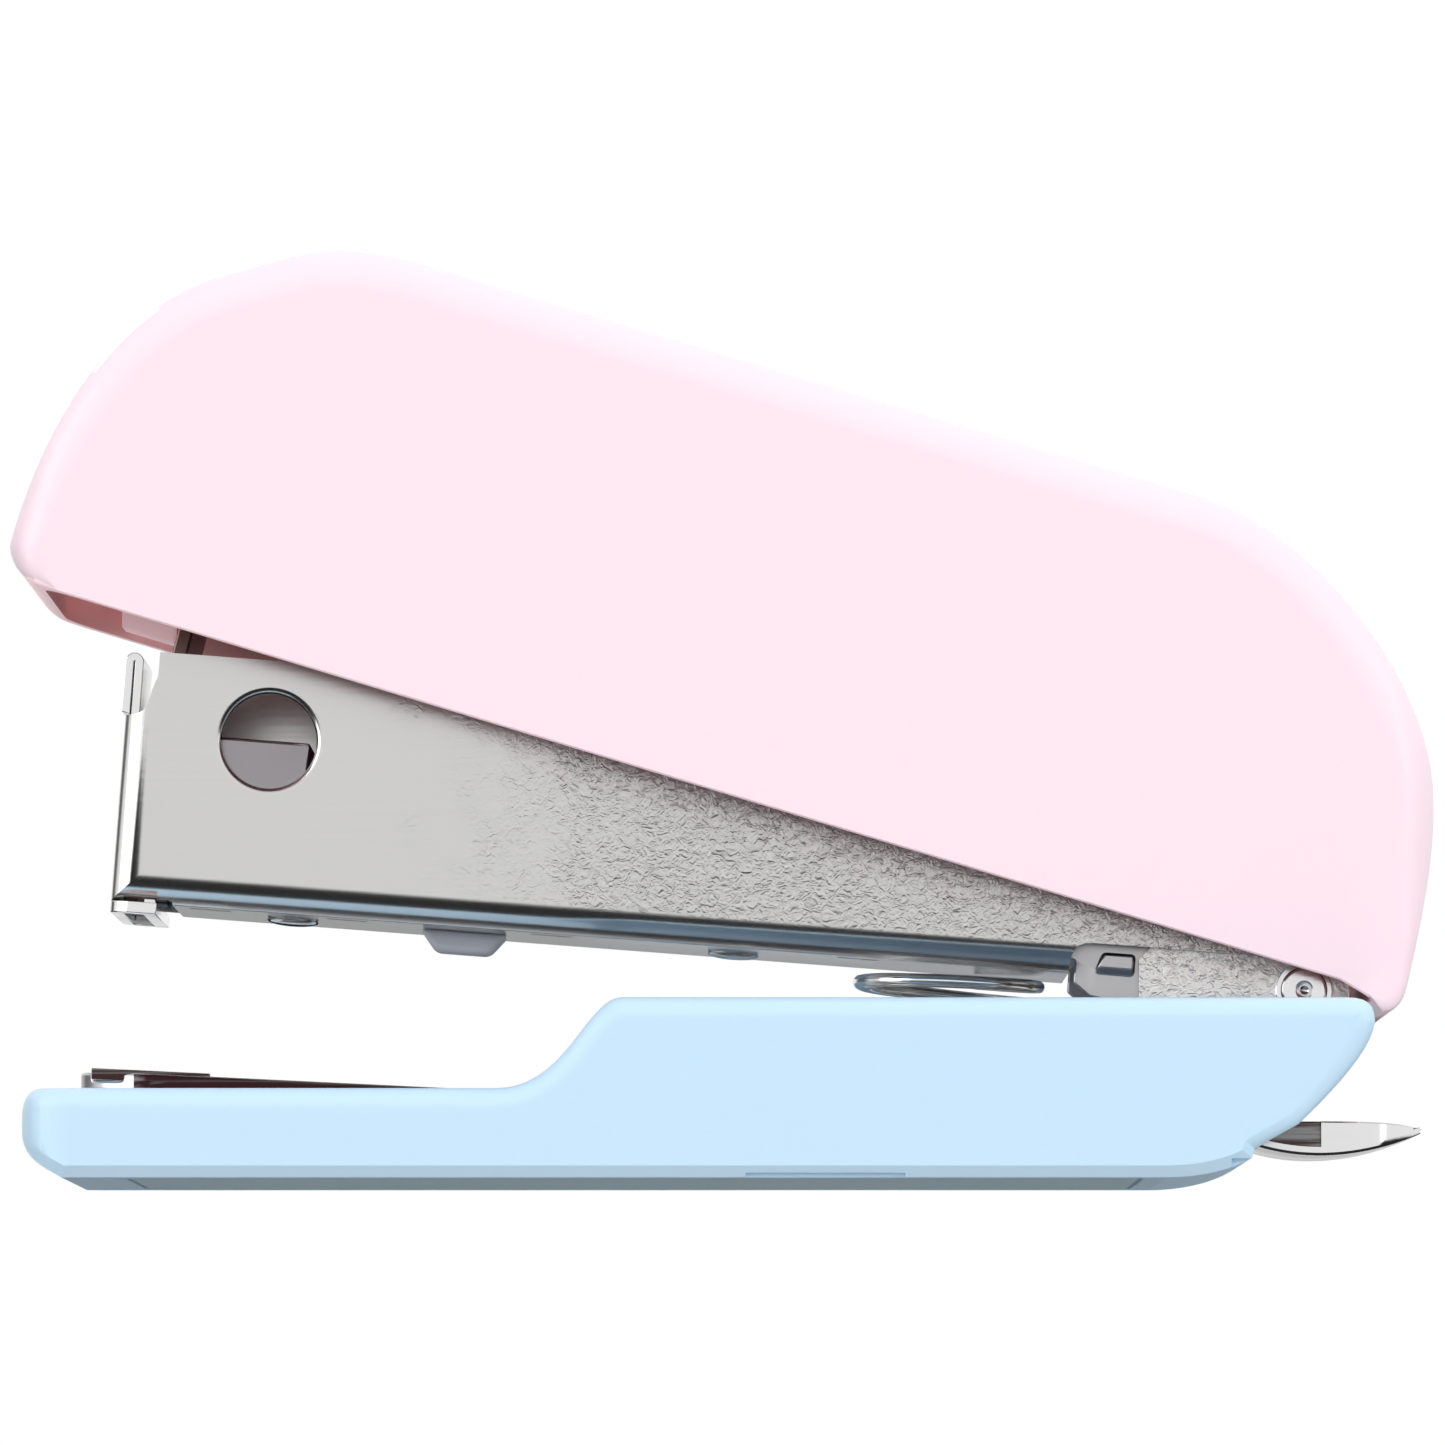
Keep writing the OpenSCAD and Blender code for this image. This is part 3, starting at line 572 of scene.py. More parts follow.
def shapedPlan(bm, half, widthAt, corner, front=None, rear=None, kink=None):
    # gives the slab its plan: a width along its length and round corners at its ends
    shares = (0.03, 0.09, 0.18, 0.3, 0.45, 0.65, 0.85, 1.0)
    cuts = [kink] if kink is not None else []
    cuts += [front + corner * share for share in shares] if front is not None else []
    cuts += [rear - corner * share for share in shares] if rear is not None else []
    for cut in cuts:
        bmesh.ops.bisect_plane(bm, geom=bm.verts[:] + bm.edges[:] + bm.faces[:], dist=0.0001,
                               plane_co=(cut, 0, 0), plane_no=(1, 0, 0))
    for vert in bm.verts:
        width = widthAt(vert.co.x)
        for end, way in ((front, 1), (rear, -1)):
            gap = corner if end is None else max(0.0, (vert.co.x - end) * way)
            if gap < corner:
                width -= corner - math.sqrt(corner ** 2 - (corner - gap) ** 2)
        vert.co.y *= width / half


def ahead(outline):
    # distance from the pin becomes a place in front of it
    return [(-u, n) for u, n in outline]


def block(bm, low, high):
    size = [h - l for l, h in zip(low, high)]
    middle = [(h + l) / 2 for l, h in zip(low, high)]
    shape = Matrix.Translation(middle) @ Matrix.Diagonal((*size, 1))
    return bmesh.ops.create_cube(bm, size=1, matrix=shape)["verts"]


def turned(bm, profile, steps=48, axis="Z", place=(0, 0, 0)):
    # a profile of (radius, height) spun round; it starts and ends on the axis or closes on itself
    verts = [bm.verts.new((r, 0, h)) for r, h in profile]
    edges = [bm.edges.new(pair) for pair in zip(verts, verts[1:])]
    before = set(bm.verts) - set(verts)
    bmesh.ops.spin(bm, geom=verts + edges, axis=(0, 0, 1), cent=(0, 0, 0), angle=math.tau,
                   steps=steps, use_merge=True)
    made = [v for v in bm.verts if v not in before]
    bmesh.ops.remove_doubles(bm, verts=made, dist=0.0005)
    made = [v for v in bm.verts if v not in before]
    faces = {f for v in made for f in v.link_faces}
    bmesh.ops.recalc_face_normals(bm, faces=list(faces))
    turns = {
        "X": Matrix.Rotation(math.pi / 2, 4, "Y"),
        "Y": Matrix.Rotation(-math.pi / 2, 4, "X"),
        "Z": Matrix(),
    }
    bmesh.ops.transform(bm, verts=made, matrix=Matrix.Translation(place) @ turns[axis])
    return made


def roundRod(radius, length, edge=0.12):
    return [(0, 0), (radius - edge, 0), (radius, edge),
            (radius, length - edge), (radius - edge, length), (0, length)]


def coil(bm, radius, wire, stretches, perTurn=28, sides=10):
    # stretches are (turns, rise); the wire goes round the Z axis and both ends are closed
    made = bmesh.ops.create_circle(bm, segments=sides, radius=wire / 2, cap_ends=False)
    ring = made["verts"]
    bmesh.ops.rotate(bm, verts=ring, matrix=Matrix.Rotation(math.pi / 2, 3, "X"))
    bmesh.ops.translate(bm, verts=ring, vec=(radius, 0, wire / 2))
    first = list({e for v in ring for e in v.link_edges})
    last = ring + first
    for turns, rise in stretches:
        steps = max(2, round(perTurn * turns))
        spun = bmesh.ops.spin(bm, geom=last, axis=(0, 0, 1), cent=(0, 0, 0), dvec=(0, 0, rise / steps),
                              angle=math.tau * turns, steps=steps)
        last = spun["geom_last"]
    lastEdges = [e for e in last if isinstance(e, bmesh.types.BMEdge)]
    bmesh.ops.holes_fill(bm, edges=first, sides=0)
    bmesh.ops.holes_fill(bm, edges=lastEdges, sides=0)


def toMagazine(extra=0.0):
    return Matrix.Translation(pinPlace) @ Matrix.Rotation(math.radians(magazineTilt + extra), 4, "Y")


def settled(obj):
    # the object's mesh with its modifiers worked in
    bpy.context.view_layer.update()
    graph = bpy.context.evaluated_depsgraph_get()
    mesh = bpy.data.meshes.new_from_object(obj.evaluated_get(graph))
    old = obj.data
    obj.modifiers.clear()
    obj.data = mesh
    bpy.data.meshes.remove(old)


def loose(name, bm):
    bmesh.ops.recalc_face_normals(bm, faces=bm.faces)
    mesh = bpy.data.meshes.new(name)
    bm.to_mesh(mesh)
    bm.free()
    obj = bpy.data.objects.new(name, mesh)
    bpy.context.scene.collection.objects.link(obj)
    return obj


def combine(obj, operation, *pieces):
    # works each piece into the object, then throws the piece away
    for bm in pieces:
        tool = loose("tool", bm)
        step = obj.modifiers.new("step", "BOOLEAN")
        step.operation = operation
        step.solver = "EXACT"
        step.object = tool
        settled(obj)
        bpy.data.objects.remove(tool)


def cutAway(obj, *cutters):
    combine(obj, "DIFFERENCE", *cutters)


def workedWith(bm, operation, other):
    # the same for two shapes that aren't pieces yet
    obj = loose("worked", bm)
    combine(obj, operation, other)
    result = bmesh.new()
    result.from_mesh(obj.data)
    bpy.data.objects.remove(obj)
    return result


def softEdges(obj, width, segments):
    sharperThan = 32
    rounding = obj.modifiers.new("roundEdges", "BEVEL")
    rounding.width = width * millimetre
    rounding.segments = segments
    rounding.limit_method = "ANGLE"
    rounding.angle_limit = math.radians(sharperThan)
    rounding.miter_outer = "MITER_ARC"


def markFaces(obj, test, name="shade"):
    # a face attribute that the materials read; the test gets a face's middle and normal
    mark = obj.data.attributes.new(name, "FLOAT", "FACE")
    for polygon in obj.data.polygons:
        mark.data[polygon.index].value = float(test(polygon.center, polygon.normal))


def cleaned(mesh):
    # merges what lies together and joins faces that lie in one plane
    clean = {"merge": 0.0008, "sliver": 0.0005, "flatAngle": 0.0009, "noAngle": 9}
    bm = bmesh.new()
    bm.from_mesh(mesh)
    bmesh.ops.remove_doubles(bm, verts=bm.verts, dist=clean["merge"])
    bmesh.ops.dissolve_degenerate(bm, edges=bm.edges, dist=clean["sliver"])
    flat = [e for e in bm.edges
            if len(e.link_faces) == 2 and e.calc_face_angle(clean["noAngle"]) < clean["flatAngle"]]
    bmesh.ops.dissolve_edges(bm, edges=flat, use_verts=False, use_face_split=False)
    bm.to_mesh(mesh)
    bm.free()


def finishPiece(obj, material, body, slot, replaced, place=Matrix(), edge=0.0, segments=2, sharp=34):
    mesh = obj.data
    cleaned(mesh)
    mesh.transform(Matrix.Scale(millimetre, 4) @ place)
    mesh.materials.clear()
    mesh.materials.append(materials[material])
    for polygon in mesh.polygons:
        polygon.use_smooth = True
    mesh.set_sharp_from_angle(angle=math.radians(sharp))
    if edge:
        softEdges(obj, edge, segments)
    level = obj.modifiers.new("evenShading", "WEIGHTED_NORMAL")
    level.keep_sharp = True
    level.weight = 100
    if body:
        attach(obj, body)
    if replaced:
        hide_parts(*replaced)
    return obj


def simplePiece(name, bm, *stated, **finish):
    return finishPiece(loose(name, bm), *stated, **finish)


# ---- cover

cover = {
    "halfWidth": 13.0, "tailHalf": 11.2, "corner": 1.8, "fillet": 1.7, "wall": 1.5,
    "chin": (-29.6, 25.65), "nose": (-31, 27.5), "brow": (-21.7, 39.2), "crest": (-16.7, 40.3),
    "topFront": (-10.5, 38.95), "topRear": (20.9, 29.63), "rearMost": (31, 16.3), "heel": (29.7, 8.3),
    "lip": (28.6, 7.2), "hemRear": (26.8, 8.66), "innerRim": 0.7, "keepRim": 1.0,
}


def roofCurve():
    c = cover
    return joined(
        curve(c["nose"], (-29.3, 33.2), (-26.2, 38.0), c["brow"], 22),
        curve(c["brow"], (-20.0, 39.65), (-18.3, 40.3), c["crest"], 8),
        curve(c["crest"], (-14.6, 40.3), (-12.6, 39.57), c["topFront"], 8),
        curve(c["topRear"], (25.7, 28.2), (31, 21.5), c["rearMost"], 22),
        curve(c["rearMost"], (31, 13.7), (30.3, 10.8), c["heel"], 10),
    )


def halfWidthAt(x, skin=0.0):
    c = cover
    share = min(1, (x - c["nose"][0]) / (pinPlace[0] - c["nose"][0]))
    return c["halfWidth"] - skin + (c["tailHalf"] - c["halfWidth"]) * share


def coverBlank(bm, skin, rim):
    # the closed body inside the cover's faces, shrunk by a skin
    c = cover
    roof = roofCurve()
    if skin:
        closed = roof + [(c["heel"][0], 0), (c["nose"][0], 0)]
        outline = insetOutline(closed, [skin] * len(closed))[:len(roof)]
        outline += [(outline[-1][0], 0), (outline[0][0], 0)]
        depths = [rim] * len(outline)
    else:
        front = curve(c["chin"], (-30.3, 25.9), (-30.9, 26.6), c["nose"], 7)
        back = curve(c["heel"], (29.55, 7.65), (29.2, 7.2), c["lip"], 5)
        outline = joined(front, roof, back)
        run = [0.0]
        for a, b in zip(outline, outline[1:]):
            run.append(run[-1] + math.dist(a, b))
        depths = [rim * min(1, 0.35 + 0.16 * at, 0.3 + 0.11 * (run[-1] - at)) for at in run]
        slope = Vector(c["hemRear"]) - Vector(c["chin"])
        outline += [(c["lip"][0] - 0.5, c["lip"][1] + 0.7), c["hemRear"],
                    tuple(Vector(c["chin"]) + slope.normalized() * 0.8)]
        depths += [0, 0, 0]
    half = c["halfWidth"] - skin
    rimmed(bm, outline, half, depths)
    shapedPlan(bm, half, lambda x: halfWidthAt(x, skin), c["corner"], c["nose"][0] + skin,
               c["rearMost"][0] - skin, pinPlace[0])


def makeTopCover():
    c = cover
    outer, inner, keep = bmesh.new(), bmesh.new(), bmesh.new()
    coverBlank(outer, 0, c["fillet"])
    coverBlank(inner, c["wall"], c["innerRim"])
    coverBlank(keep, c["wall"] / 2, c["keepRim"])
    shell = loose("topCover", outer)
    cutAway(shell, inner)
    ribs = {"inner": 7.9, "outer": 12,
            "side": [(-26.9, 25.15), (-24.6, 24.45), (-24.6, 36.6), (-26.9, 34.9)]}
    sides = []
    for low, high in ((-ribs["outer"], -ribs["inner"]), (ribs["inner"], ribs["outer"])):
        rib = bmesh.new()
        slab(rib, ribs["side"], low, high)
        sides.append(rib)
    combine(shell, "UNION", workedWith(makePosts(), "INTERSECT", keep), *sides)
    # painted shade on the inner faces and a painted glow on the ribs and the hem
    markFaces(shell, paintedInnerShadeFaces)
    markFaces(shell, paintedGlowFaces, "paintedGlow")
    finishPiece(shell, "pink", "cover", "pink_plastic", ["top_cover"], edge=0.2, segments=3)


def paintedGlowFaces(middle, normal):
    # the two ribs, and the hem's own narrow face: the faces that get the painted glow
    limits = {"ribFront": -27.1, "ribRear": -24.5, "ribIn": 7.5, "ribOut": 12.1, "hem": 0.4, "down": -0.6}
    chin, rear = cover["chin"], cover["hemRear"]
    hemSlope = (rear[1] - chin[1]) / (rear[0] - chin[0])
    rib = (limits["ribFront"] < middle.x < limits["ribRear"]
           and limits["ribIn"] < abs(middle.y) < limits["ribOut"])
    offHem = abs(middle.z - chin[1] - hemSlope * (middle.x - chin[0]))
    return rib or offHem < limits["hem"] and normal.z < limits["down"]


def paintedInnerShadeFaces(middle, normal):
    # turned towards a line that runs down the middle of the hollow: the faces that get the painted inner shade
    line = {"front": (-27, 27), "long": 54, "drop": 15, "reach": 12.6}
    share = min(1, max(0, (middle.x - line["front"][0]) / line["long"]))
    onLine = Vector((line["front"][0] + line["long"] * share, 0, line["front"][1] - line["drop"] * share))
    inward = normal.dot(onLine - middle) > 0
    return inward and abs(middle.y) < line["reach"] and not paintedGlowFaces(middle, normal)


def makePosts():
    # two posts under the roof that carry the driver arm
    post = {"radius": 2.2, "draft": 0.1, "chamfer": 0.15, "bore": 0.82, "boreDepth": 4, "foot": 10.3,
            "tall": 12, "at": (16, 40)}
    profile = [(0, post["tall"]), (post["radius"] + post["draft"], post["tall"]),
               (post["radius"], post["chamfer"]), (post["radius"] - post["chamfer"], 0),
               (post["bore"], 0), (post["bore"], post["boreDepth"]), (0, post["boreDepth"])]
    bm = bmesh.new()
    for u in post["at"]:
        made = turned(bm, profile)
        place = toMagazine(armTilt) @ Matrix.Translation((-u, 0, post["foot"]))
        bmesh.ops.transform(bm, verts=made, matrix=place)
    return bm


makeTopCover()
print("cover ready")

# ---- base

base = {
    "half": 13.0, "wall": 1.5, "deck": 3.87, "cheek": 7.8, "topFillet": 0.9, "bottomFillet": 0.5,
    "plateFront": (-26.8, 4.75), "plateSlope": -0.048, "plateThick": 0.8, "plateHalf": 6.5,
    "plateTip": -28.2, "plateEnd": 14.0, "frontCorner": 3.0, "front": -30.45, "bayFront": -6.2,
    "cheekFront": -9.6, "deckClear": 0.002,
}
pad = {"front": -25.8, "rear": 18.2, "half": 10.8, "corner": 1.4, "tall": 0.6, "gap": 0.1}


def plateTop(x):
    return base["plateFront"][1] + (x - base["plateFront"][0]) * base["plateSlope"]


def plateBottom(x):
    return plateTop(x) - base["plateThick"]


def baseOutline():
    deck, cheek = base["deck"], base["cheek"]
    return joined(
        curve((-29.3, 0.4), (-30.05, 0.85), (-30.45, 1.4), (-30.45, 2.2), 6),
        curve((-30.45, 2.5), (-30.45, 3.4), (-30.1, deck), (-29.5, deck), 6),
        curve((-9.75, deck), (-6.8, 3.9), (-5.9, 7.7), (-4.4, cheek), 20),
        curve((27.0, cheek), (27.9, cheek), (28.24, 7.5), (28.24, 6.8), 6),
        curve((28.23, 6.7), (28.1, 5.6), (26.6, 3.9), (24.9, 2.3), 10),
        [(23.0, 1.25)],
        curve((22.9, 0.85), (22.0, 0.3), (20.6, 0), (19.2, 0), 8),
        [(-28.6, 0)],
    )


def roundedPlan(bm, xFrom, xTo, half, radius, zLow, zHigh, roundRear=False):
    # an upright block with round front corners, made by bevelling a cube's upright edges
    verts = block(bm, (xFrom, -half, zLow), (xTo, half, zHigh))
    uprights = [e for v in verts for e in v.link_edges
                if abs(e.verts[0].co.z - e.verts[1].co.z) > 0.1
                and (roundRear or abs(e.verts[0].co.x - xFrom) < 0.01)]
    bmesh.ops.bevel(bm, geom=list(set(uprights)), offset=radius, offset_type="OFFSET", segments=8,
                    profile=0.5, affect="EDGES", material=-1)


def baseRims(outline):
    # a chamfer along the bottom, a fillet round the rest that grows up the rear slope
    foot = {"below": 1.3, "end": 23.1}
    slope = {"from": 20, "low": 1.2, "share": 0.5, "growth": 0.11}
    low = {i for i, (x, z) in enumerate(outline) if z < foot["below"] and x < foot["end"]}
    depths = []
    for i, (x, z) in enumerate(outline):
        grown = slope["share"] + slope["growth"] * abs(z - slope["low"]) if x > slope["from"] else 1
        depths.append(base["bottomFillet"] if i in low else base["topFillet"] * min(1, grown))
    return depths, low


def basePlateWell():
    # the deck's recess round the steel plate; its floor slopes as the plate does
    well = {"front": -28.35, "rear": 1, "gap": 0.12, "corner": 4, "high": 9, "far": 40, "past": 9, "wide": 20}
    recess = bmesh.new()
    roundedPlan(recess, well["front"], well["rear"], base["plateHalf"] + well["gap"], well["corner"], 0,
                well["high"])
    lower = bmesh.new()
    slab(lower, [(-well["far"], -well["past"]), (well["past"], -well["past"]),
                 (well["past"], plateBottom(well["past"])), (-well["far"], plateBottom(-well["far"]))],
         -well["wide"], well["wide"])
    return workedWith(recess, "DIFFERENCE", lower)


def baseSlots():
    # a long and a short slot in the lower edge of each side
    kinds = ({"from": 1.0, "to": 7.9, "at": 12.62, "half": 0.3, "top": 0.2},
             {"from": 22.0, "to": 23.35, "at": 12.75, "half": 0.45, "top": 0.82})
    slots = []
    for side in (-1, 1):
        for kind in kinds:
            slot = bmesh.new()
            block(slot, (kind["from"], side * kind["at"] - kind["half"], -0.3),
                  (kind["to"], side * kind["at"] + kind["half"], kind["top"]))
            slots.append(slot)
    return slots


def makeBaseShell():
    b = base
    outline = baseOutline()
    depths, low = baseRims(outline)
    blank = bmesh.new()
    rimmed(blank, outline, b["half"], depths, low)
    shapedPlan(blank, b["half"], lambda x: b["half"], b["frontCorner"], b["front"])
    shell = loose("baseShell", blank)
    bay = bmesh.new()
    inner = b["half"] - b["wall"]
    deckCut = b["deck"] + b["deckClear"]
    far, high = 40, 20
    slab(bay, [(b["bayFront"], plateBottom(b["bayFront"])), (far, plateBottom(far)), (far, high),
               (b["cheekFront"], high), (b["cheekFront"], deckCut), (b["bayFront"], deckCut)], -inner, inner)
    pocket = bmesh.new()
    roundedPlan(pocket, pad["front"] - pad["gap"], pad["rear"] + pad["gap"], pad["half"] + pad["gap"],
                pad["corner"] + pad["gap"], -2, pad["tall"] + 0.02, True)
    cutAway(shell, bay, basePlateWell(), pocket, *baseSlots())
    finishPiece(shell, "blue", "base", "blue_plastic", ["base_shell"], edge=0.06)


def makeBottomPad():
    bm = bmesh.new()
    roundedPlan(bm, pad["front"], pad["rear"], pad["half"], pad["corner"], 0, pad["tall"], True)
    simplePiece("bottomPad", bm, "pad", "base", "pad_plastic", ["bottom_pad"], edge=0.15)


def shearToPlate(obj):
    # lays a flat piece, drawn with its top at zero, along the plate's slope
    for vert in obj.data.vertices:
        vert.co.z += plateTop(vert.co.x)


def makeBasePlate():
    b = base
    bm = bmesh.new()
    roundedPlan(bm, b["plateTip"], b["plateEnd"], b["plateHalf"], 4, -b["plateThick"], 0)
    plate = loose("basePlate", bm)
    pocket = bmesh.new()
    block(pocket, (-27.62, -5.92, -0.35), (-22.38, 5.92, 1))
    hole = bmesh.new()
    turned(hole, roundRod(1.0, 4, 0.01), 32, place=(1.5, 0, -2))
    cutAway(plate, pocket, hole)
    shearToPlate(plate)
    # painted shade: the plate's side faces behind the front are painted dark, where they look into the shade
    # under the magazine
    markFaces(plate, lambda middle, normal: abs(normal.z) < 0.5 and middle.x > -25.5)
    finishPiece(plate, "smooth", "base", "steel_sheet", ["base_plate"], edge=0.13)


def makeAnvil():
    # a dished channel for each leg of the staple
    channel = {"x": -26.2, "y": 3.1, "z": 0.33, "reach": (0.62, 2.2, 0.5)}
    bm = bmesh.new()
    block(bm, (-27.6, -5.9, -0.35), (-22.4, 5.9, 0.15))
    plate = loose("anvilPlate", bm)
    cutters = []
    for side in (-1, 1):
        groove = bmesh.new()
        made = bmesh.ops.create_uvsphere(groove, u_segments=28, v_segments=14, radius=1)
        place = Matrix.Translation((channel["x"], side * channel["y"], channel["z"]))
        shape = Matrix.Diagonal((*channel["reach"], 1))
        bmesh.ops.transform(groove, verts=made["verts"], matrix=place @ shape)
        cutters.append(groove)
    cutAway(plate, *cutters)
    shearToPlate(plate)
    # painted shade: the anvil's side faces are painted dark like the plate's
    markFaces(plate, lambda middle, normal: abs(normal.y) > 0.5)
    finishPiece(plate, "bright", "base", "bright_steel", ["anvil"], edge=0.08)


def makeHingeBracket():
    k = {"earIn": 5.95, "earOut": 6.55, "front": 18.2, "back": 22.5, "top": 10.2, "round": 2.0,
         "floorFrom": 14.8, "floorThick": 0.6, "marks": (19.0, 19.7), "markLow": 9.0, "markHigh": 9.75,
         "markWide": 0.25, "markDeep": 0.12}
    x, z = pinPlace[0], pinPlace[2]
    arc = [(x + k["round"] * math.cos(t), z + k["round"] * math.sin(t))
           for t in (math.radians(a) for a in range(-50, 91, 10))]
    ear = [(k["front"], plateTop(k["front"]) + 0.3), (k["back"], plateTop(k["back"]))] + arc + [
        (k["front"] + 0.6, k["top"] + 0.08), (k["front"], k["top"] - 0.55)]
    bm = bmesh.new()
    for side in (-1, 1):
        low, high = sorted((side * k["earIn"], side * k["earOut"]))
        slab(bm, ear, low, high)
    bracket = loose("hingeBracket", bm)
    floor = bmesh.new()
    slab(floor, [(k["floorFrom"], plateTop(k["floorFrom"])), (k["back"], plateTop(k["back"])),
                 (k["back"], plateTop(k["back"]) + k["floorThick"]),
                 (k["floorFrom"], plateTop(k["floorFrom"]) + k["floorThick"])],
         -k["earOut"] + 0.05, k["earOut"] - 0.05)
    combine(bracket, "UNION", floor)
    holes = []
    for side in (-1, 1):
        hole = bmesh.new()
        turned(hole, roundRod(1.03, 2, 0.01), 40, "Y", (x, side * 6.25 - 1, z))
        holes.append(hole)
        marks = bmesh.new()
        for at in k["marks"]:
            face = side * k["earOut"]
            slab(marks, [(at, k["markLow"]), (at + k["markWide"], k["markLow"]),
                         (at + k["markWide"], k["markHigh"]), (at, k["markHigh"])],
                 face - k["markDeep"], face + k["markDeep"])
        holes.append(marks)
    cutAway(bracket, *holes)
    finishPiece(bracket, "bracket", "base", "steel_sheet", ["hinge_bracket"], edge=0.12)


def domedRivet(name, node, body, place, turn=Matrix(), shank=0.79, head=1.6, height=0.42, length=2.2):
    rim = 0.08
    profile = [(0, -length), (shank, -length), (shank, 0), (head - 0.06, 0), (head, rim)]
    profile += [(head * math.cos(t), rim + (height - rim) * math.sin(t))
                for t in (math.radians(a) for a in range(15, 90, 15))]
    profile += [(0, height)]
    bm = bmesh.new()
    turned(bm, profile, 36)
    simplePiece(name, bm, "bright", body, "bright_steel", [node], Matrix.Translation(place) @ turn)


def makeBaseFixings():
    domedRivet("plateRivet", "plate_rivet", "base", (1.5, 0, plateTop(1.5) + 0.04), shank=0.99)
    domedRivet("removerRivet", "remover_rivet", "base", (18.5, 0, plateTop(18.5) + 0.64), head=1.5, length=2)
    x, _, z = pinPlace
    bm = bmesh.new()
    reach = 6.93
    # half of the pin's profile, from the dimple in its end out to the full radius
    end = [(0, 0.28), (0.12, 0.27), (0.26, 0.16), (0.34, 0.04),
           (0.44, 0), (0.86, 0.0), (0.97, 0.06), (1.0, 0.16)]
    turned(bm, end + [(r, 2 * reach - h) for r, h in reversed(end)], 48, "Y", (x, -reach, z))
    simplePiece("hingePin", bm, "bright", "base", "bright_steel", ["hinge_pin"])
    ring = [(1.02, 0), (1.2, 0), (1.25, 0.05), (1.25, 0.15), (1.2, 0.2), (1.02, 0.2), (1.02, 0)]
    washers = (("pinWasherLeft", "pin_washer_left", -6.77), ("pinWasherRight", "pin_washer_right", 6.57))
    for name, node, y in washers:
        bm = bmesh.new()
        turned(bm, ring, 40, "Y", (x, y, z))
        simplePiece(name, bm, "bright", "base", "steel_sheet", [node])


def makeReturnSpring():
    # the end turns lie close together, and the top follows the magazine's lean
    s = {"back": 15.4, "radius": 3.95, "wire": 0.6, "seat": 3.42, "ends": 0.9, "turns": 3.4, "sink": 0.06,
         "closed": 1.02}
    place = (pinPlace[0] - s["back"], 0, s["seat"])
    top = pinPlace[2] + s["back"] * math.tan(math.radians(magazineTilt)) - s["sink"]
    rise = top - s["seat"] - 2 * s["wire"] * s["closed"] - s["wire"]
    closed = (s["ends"], s["wire"] * s["closed"])
    bm = bmesh.new()
    coil(bm, s["radius"], s["wire"], [closed, (s["turns"], rise), closed], 36, 12)
    slope = -math.tan(math.radians(magazineTilt))
    full = top - s["seat"]
    for vert in bm.verts:
        vert.co.z += slope * vert.co.x * (vert.co.z / full)
    spring = simplePiece("returnSpring", bm, "wire", None, "spring_wire", [], Matrix.Translation(place))
    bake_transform(spring)
    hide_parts("return_spring")


def makeStapleRemover():
    # a steel tongue lofted from closed cross-sections; its side walls stand up behind the base
    t = {
        "root": 14.15, "wallFrom": 23.3, "flangeFrom": 26.2, "tip": 31.0, "half": 5.35, "thick": 0.5,
        "flat": 0.78, "wall": 0.5, "wallTop": 2.62, "tuck": 0.3, "stations": 44, "edge": 0.06,
        "taper": 0.12, "tipTaper": 0.40, "thinning": 0.6, "wallDrop": 0.27, "tipRound": 0.35,
        "ledgeShare": 0.35, "ledgeRise": 0.2, "heel": 0.12, "heelMid": 0.035, "shadeAbove": 1.75,
    }
    under = (plateBottom(t["wallFrom"]), 0.75, 1.15, 2.15)
    places = [t["root"] + (t["tip"] - t["root"]) * i / t["stations"] for i in range(t["stations"] + 1)]
    for step in (t["wallFrom"], t["flangeFrom"]):
        places = [x for x in places if abs(x - step) > 0.15] + [step - 0.01, step + 0.01]
    heel, heelMid = t["heel"], t["heelMid"]
    bm = bmesh.new()
    last = None
    for x in sorted(places):
        out = max(0.0, (x - t["wallFrom"]) / (t["tip"] - t["wallFrom"]))
        walled = x > t["wallFrom"]
        half = t["half"] * (1 - t["taper"] * out ** 2 - t["tipTaper"] * out ** 6)
        shares = (1 - out) ** 3, 3 * (1 - out) ** 2 * out, 3 * (1 - out) * out ** 2, out ** 3
        low = sum(k * z for k, z in zip(shares, under)) if walled else plateBottom(x)
        floor = low + (t["thick"] * (1 - t["thinning"] * out ** 4) if walled else t["flat"])
        top = max(floor, t["wallTop"] - t["wallDrop"] * out ** 6) if walled else floor
        edge = min(t["edge"], (top - floor) / 3)
        side = half - (t["tuck"] if walled and x < t["flangeFrom"] else 0)
        ledge = low + t["ledgeShare"] * (floor - low) + t["ledgeRise"]
        within = side - t["wall"]
        right = [(half - heel, low), (half - heelMid, low + heelMid), (half, low + heel), (half, ledge),
                 (side, ledge + 0.02), (side, top - edge), (side - edge, top), (within + edge, top),
                 (within, top - edge), (within, floor)]
        section = right + [(-y, z) for y, z in reversed(right)]
        bow = t["tipRound"] * out ** 4
        ring = [bm.verts.new((x - bow * (y / half) ** 2, y, z)) for y, z in section]
        if last:
            for i in range(len(ring)):
                bm.faces.new((last[i - 1], last[i], ring[i], ring[i - 1]))
        else:
            bm.faces.new(ring)
        last = ring
    bm.faces.new(last)
    bmesh.ops.remove_doubles(bm, verts=bm.verts, dist=0.0005)
    bmesh.ops.dissolve_degenerate(bm, edges=bm.edges, dist=0.0004)
    tongue = loose("stapleRemover", bm)
    # painted shade: the walls between wallFrom and flangeFrom are painted dark, where they stand in the shade
    # behind the base
    markFaces(tongue, lambda middle, normal: t["wallFrom"] - 0.1 < middle.x < t["flangeFrom"] + 0.005
              and middle.z > t["shadeAbove"])
    finishPiece(tongue, "bright", "base", "bright_steel", ["staple_remover"], sharp=18)


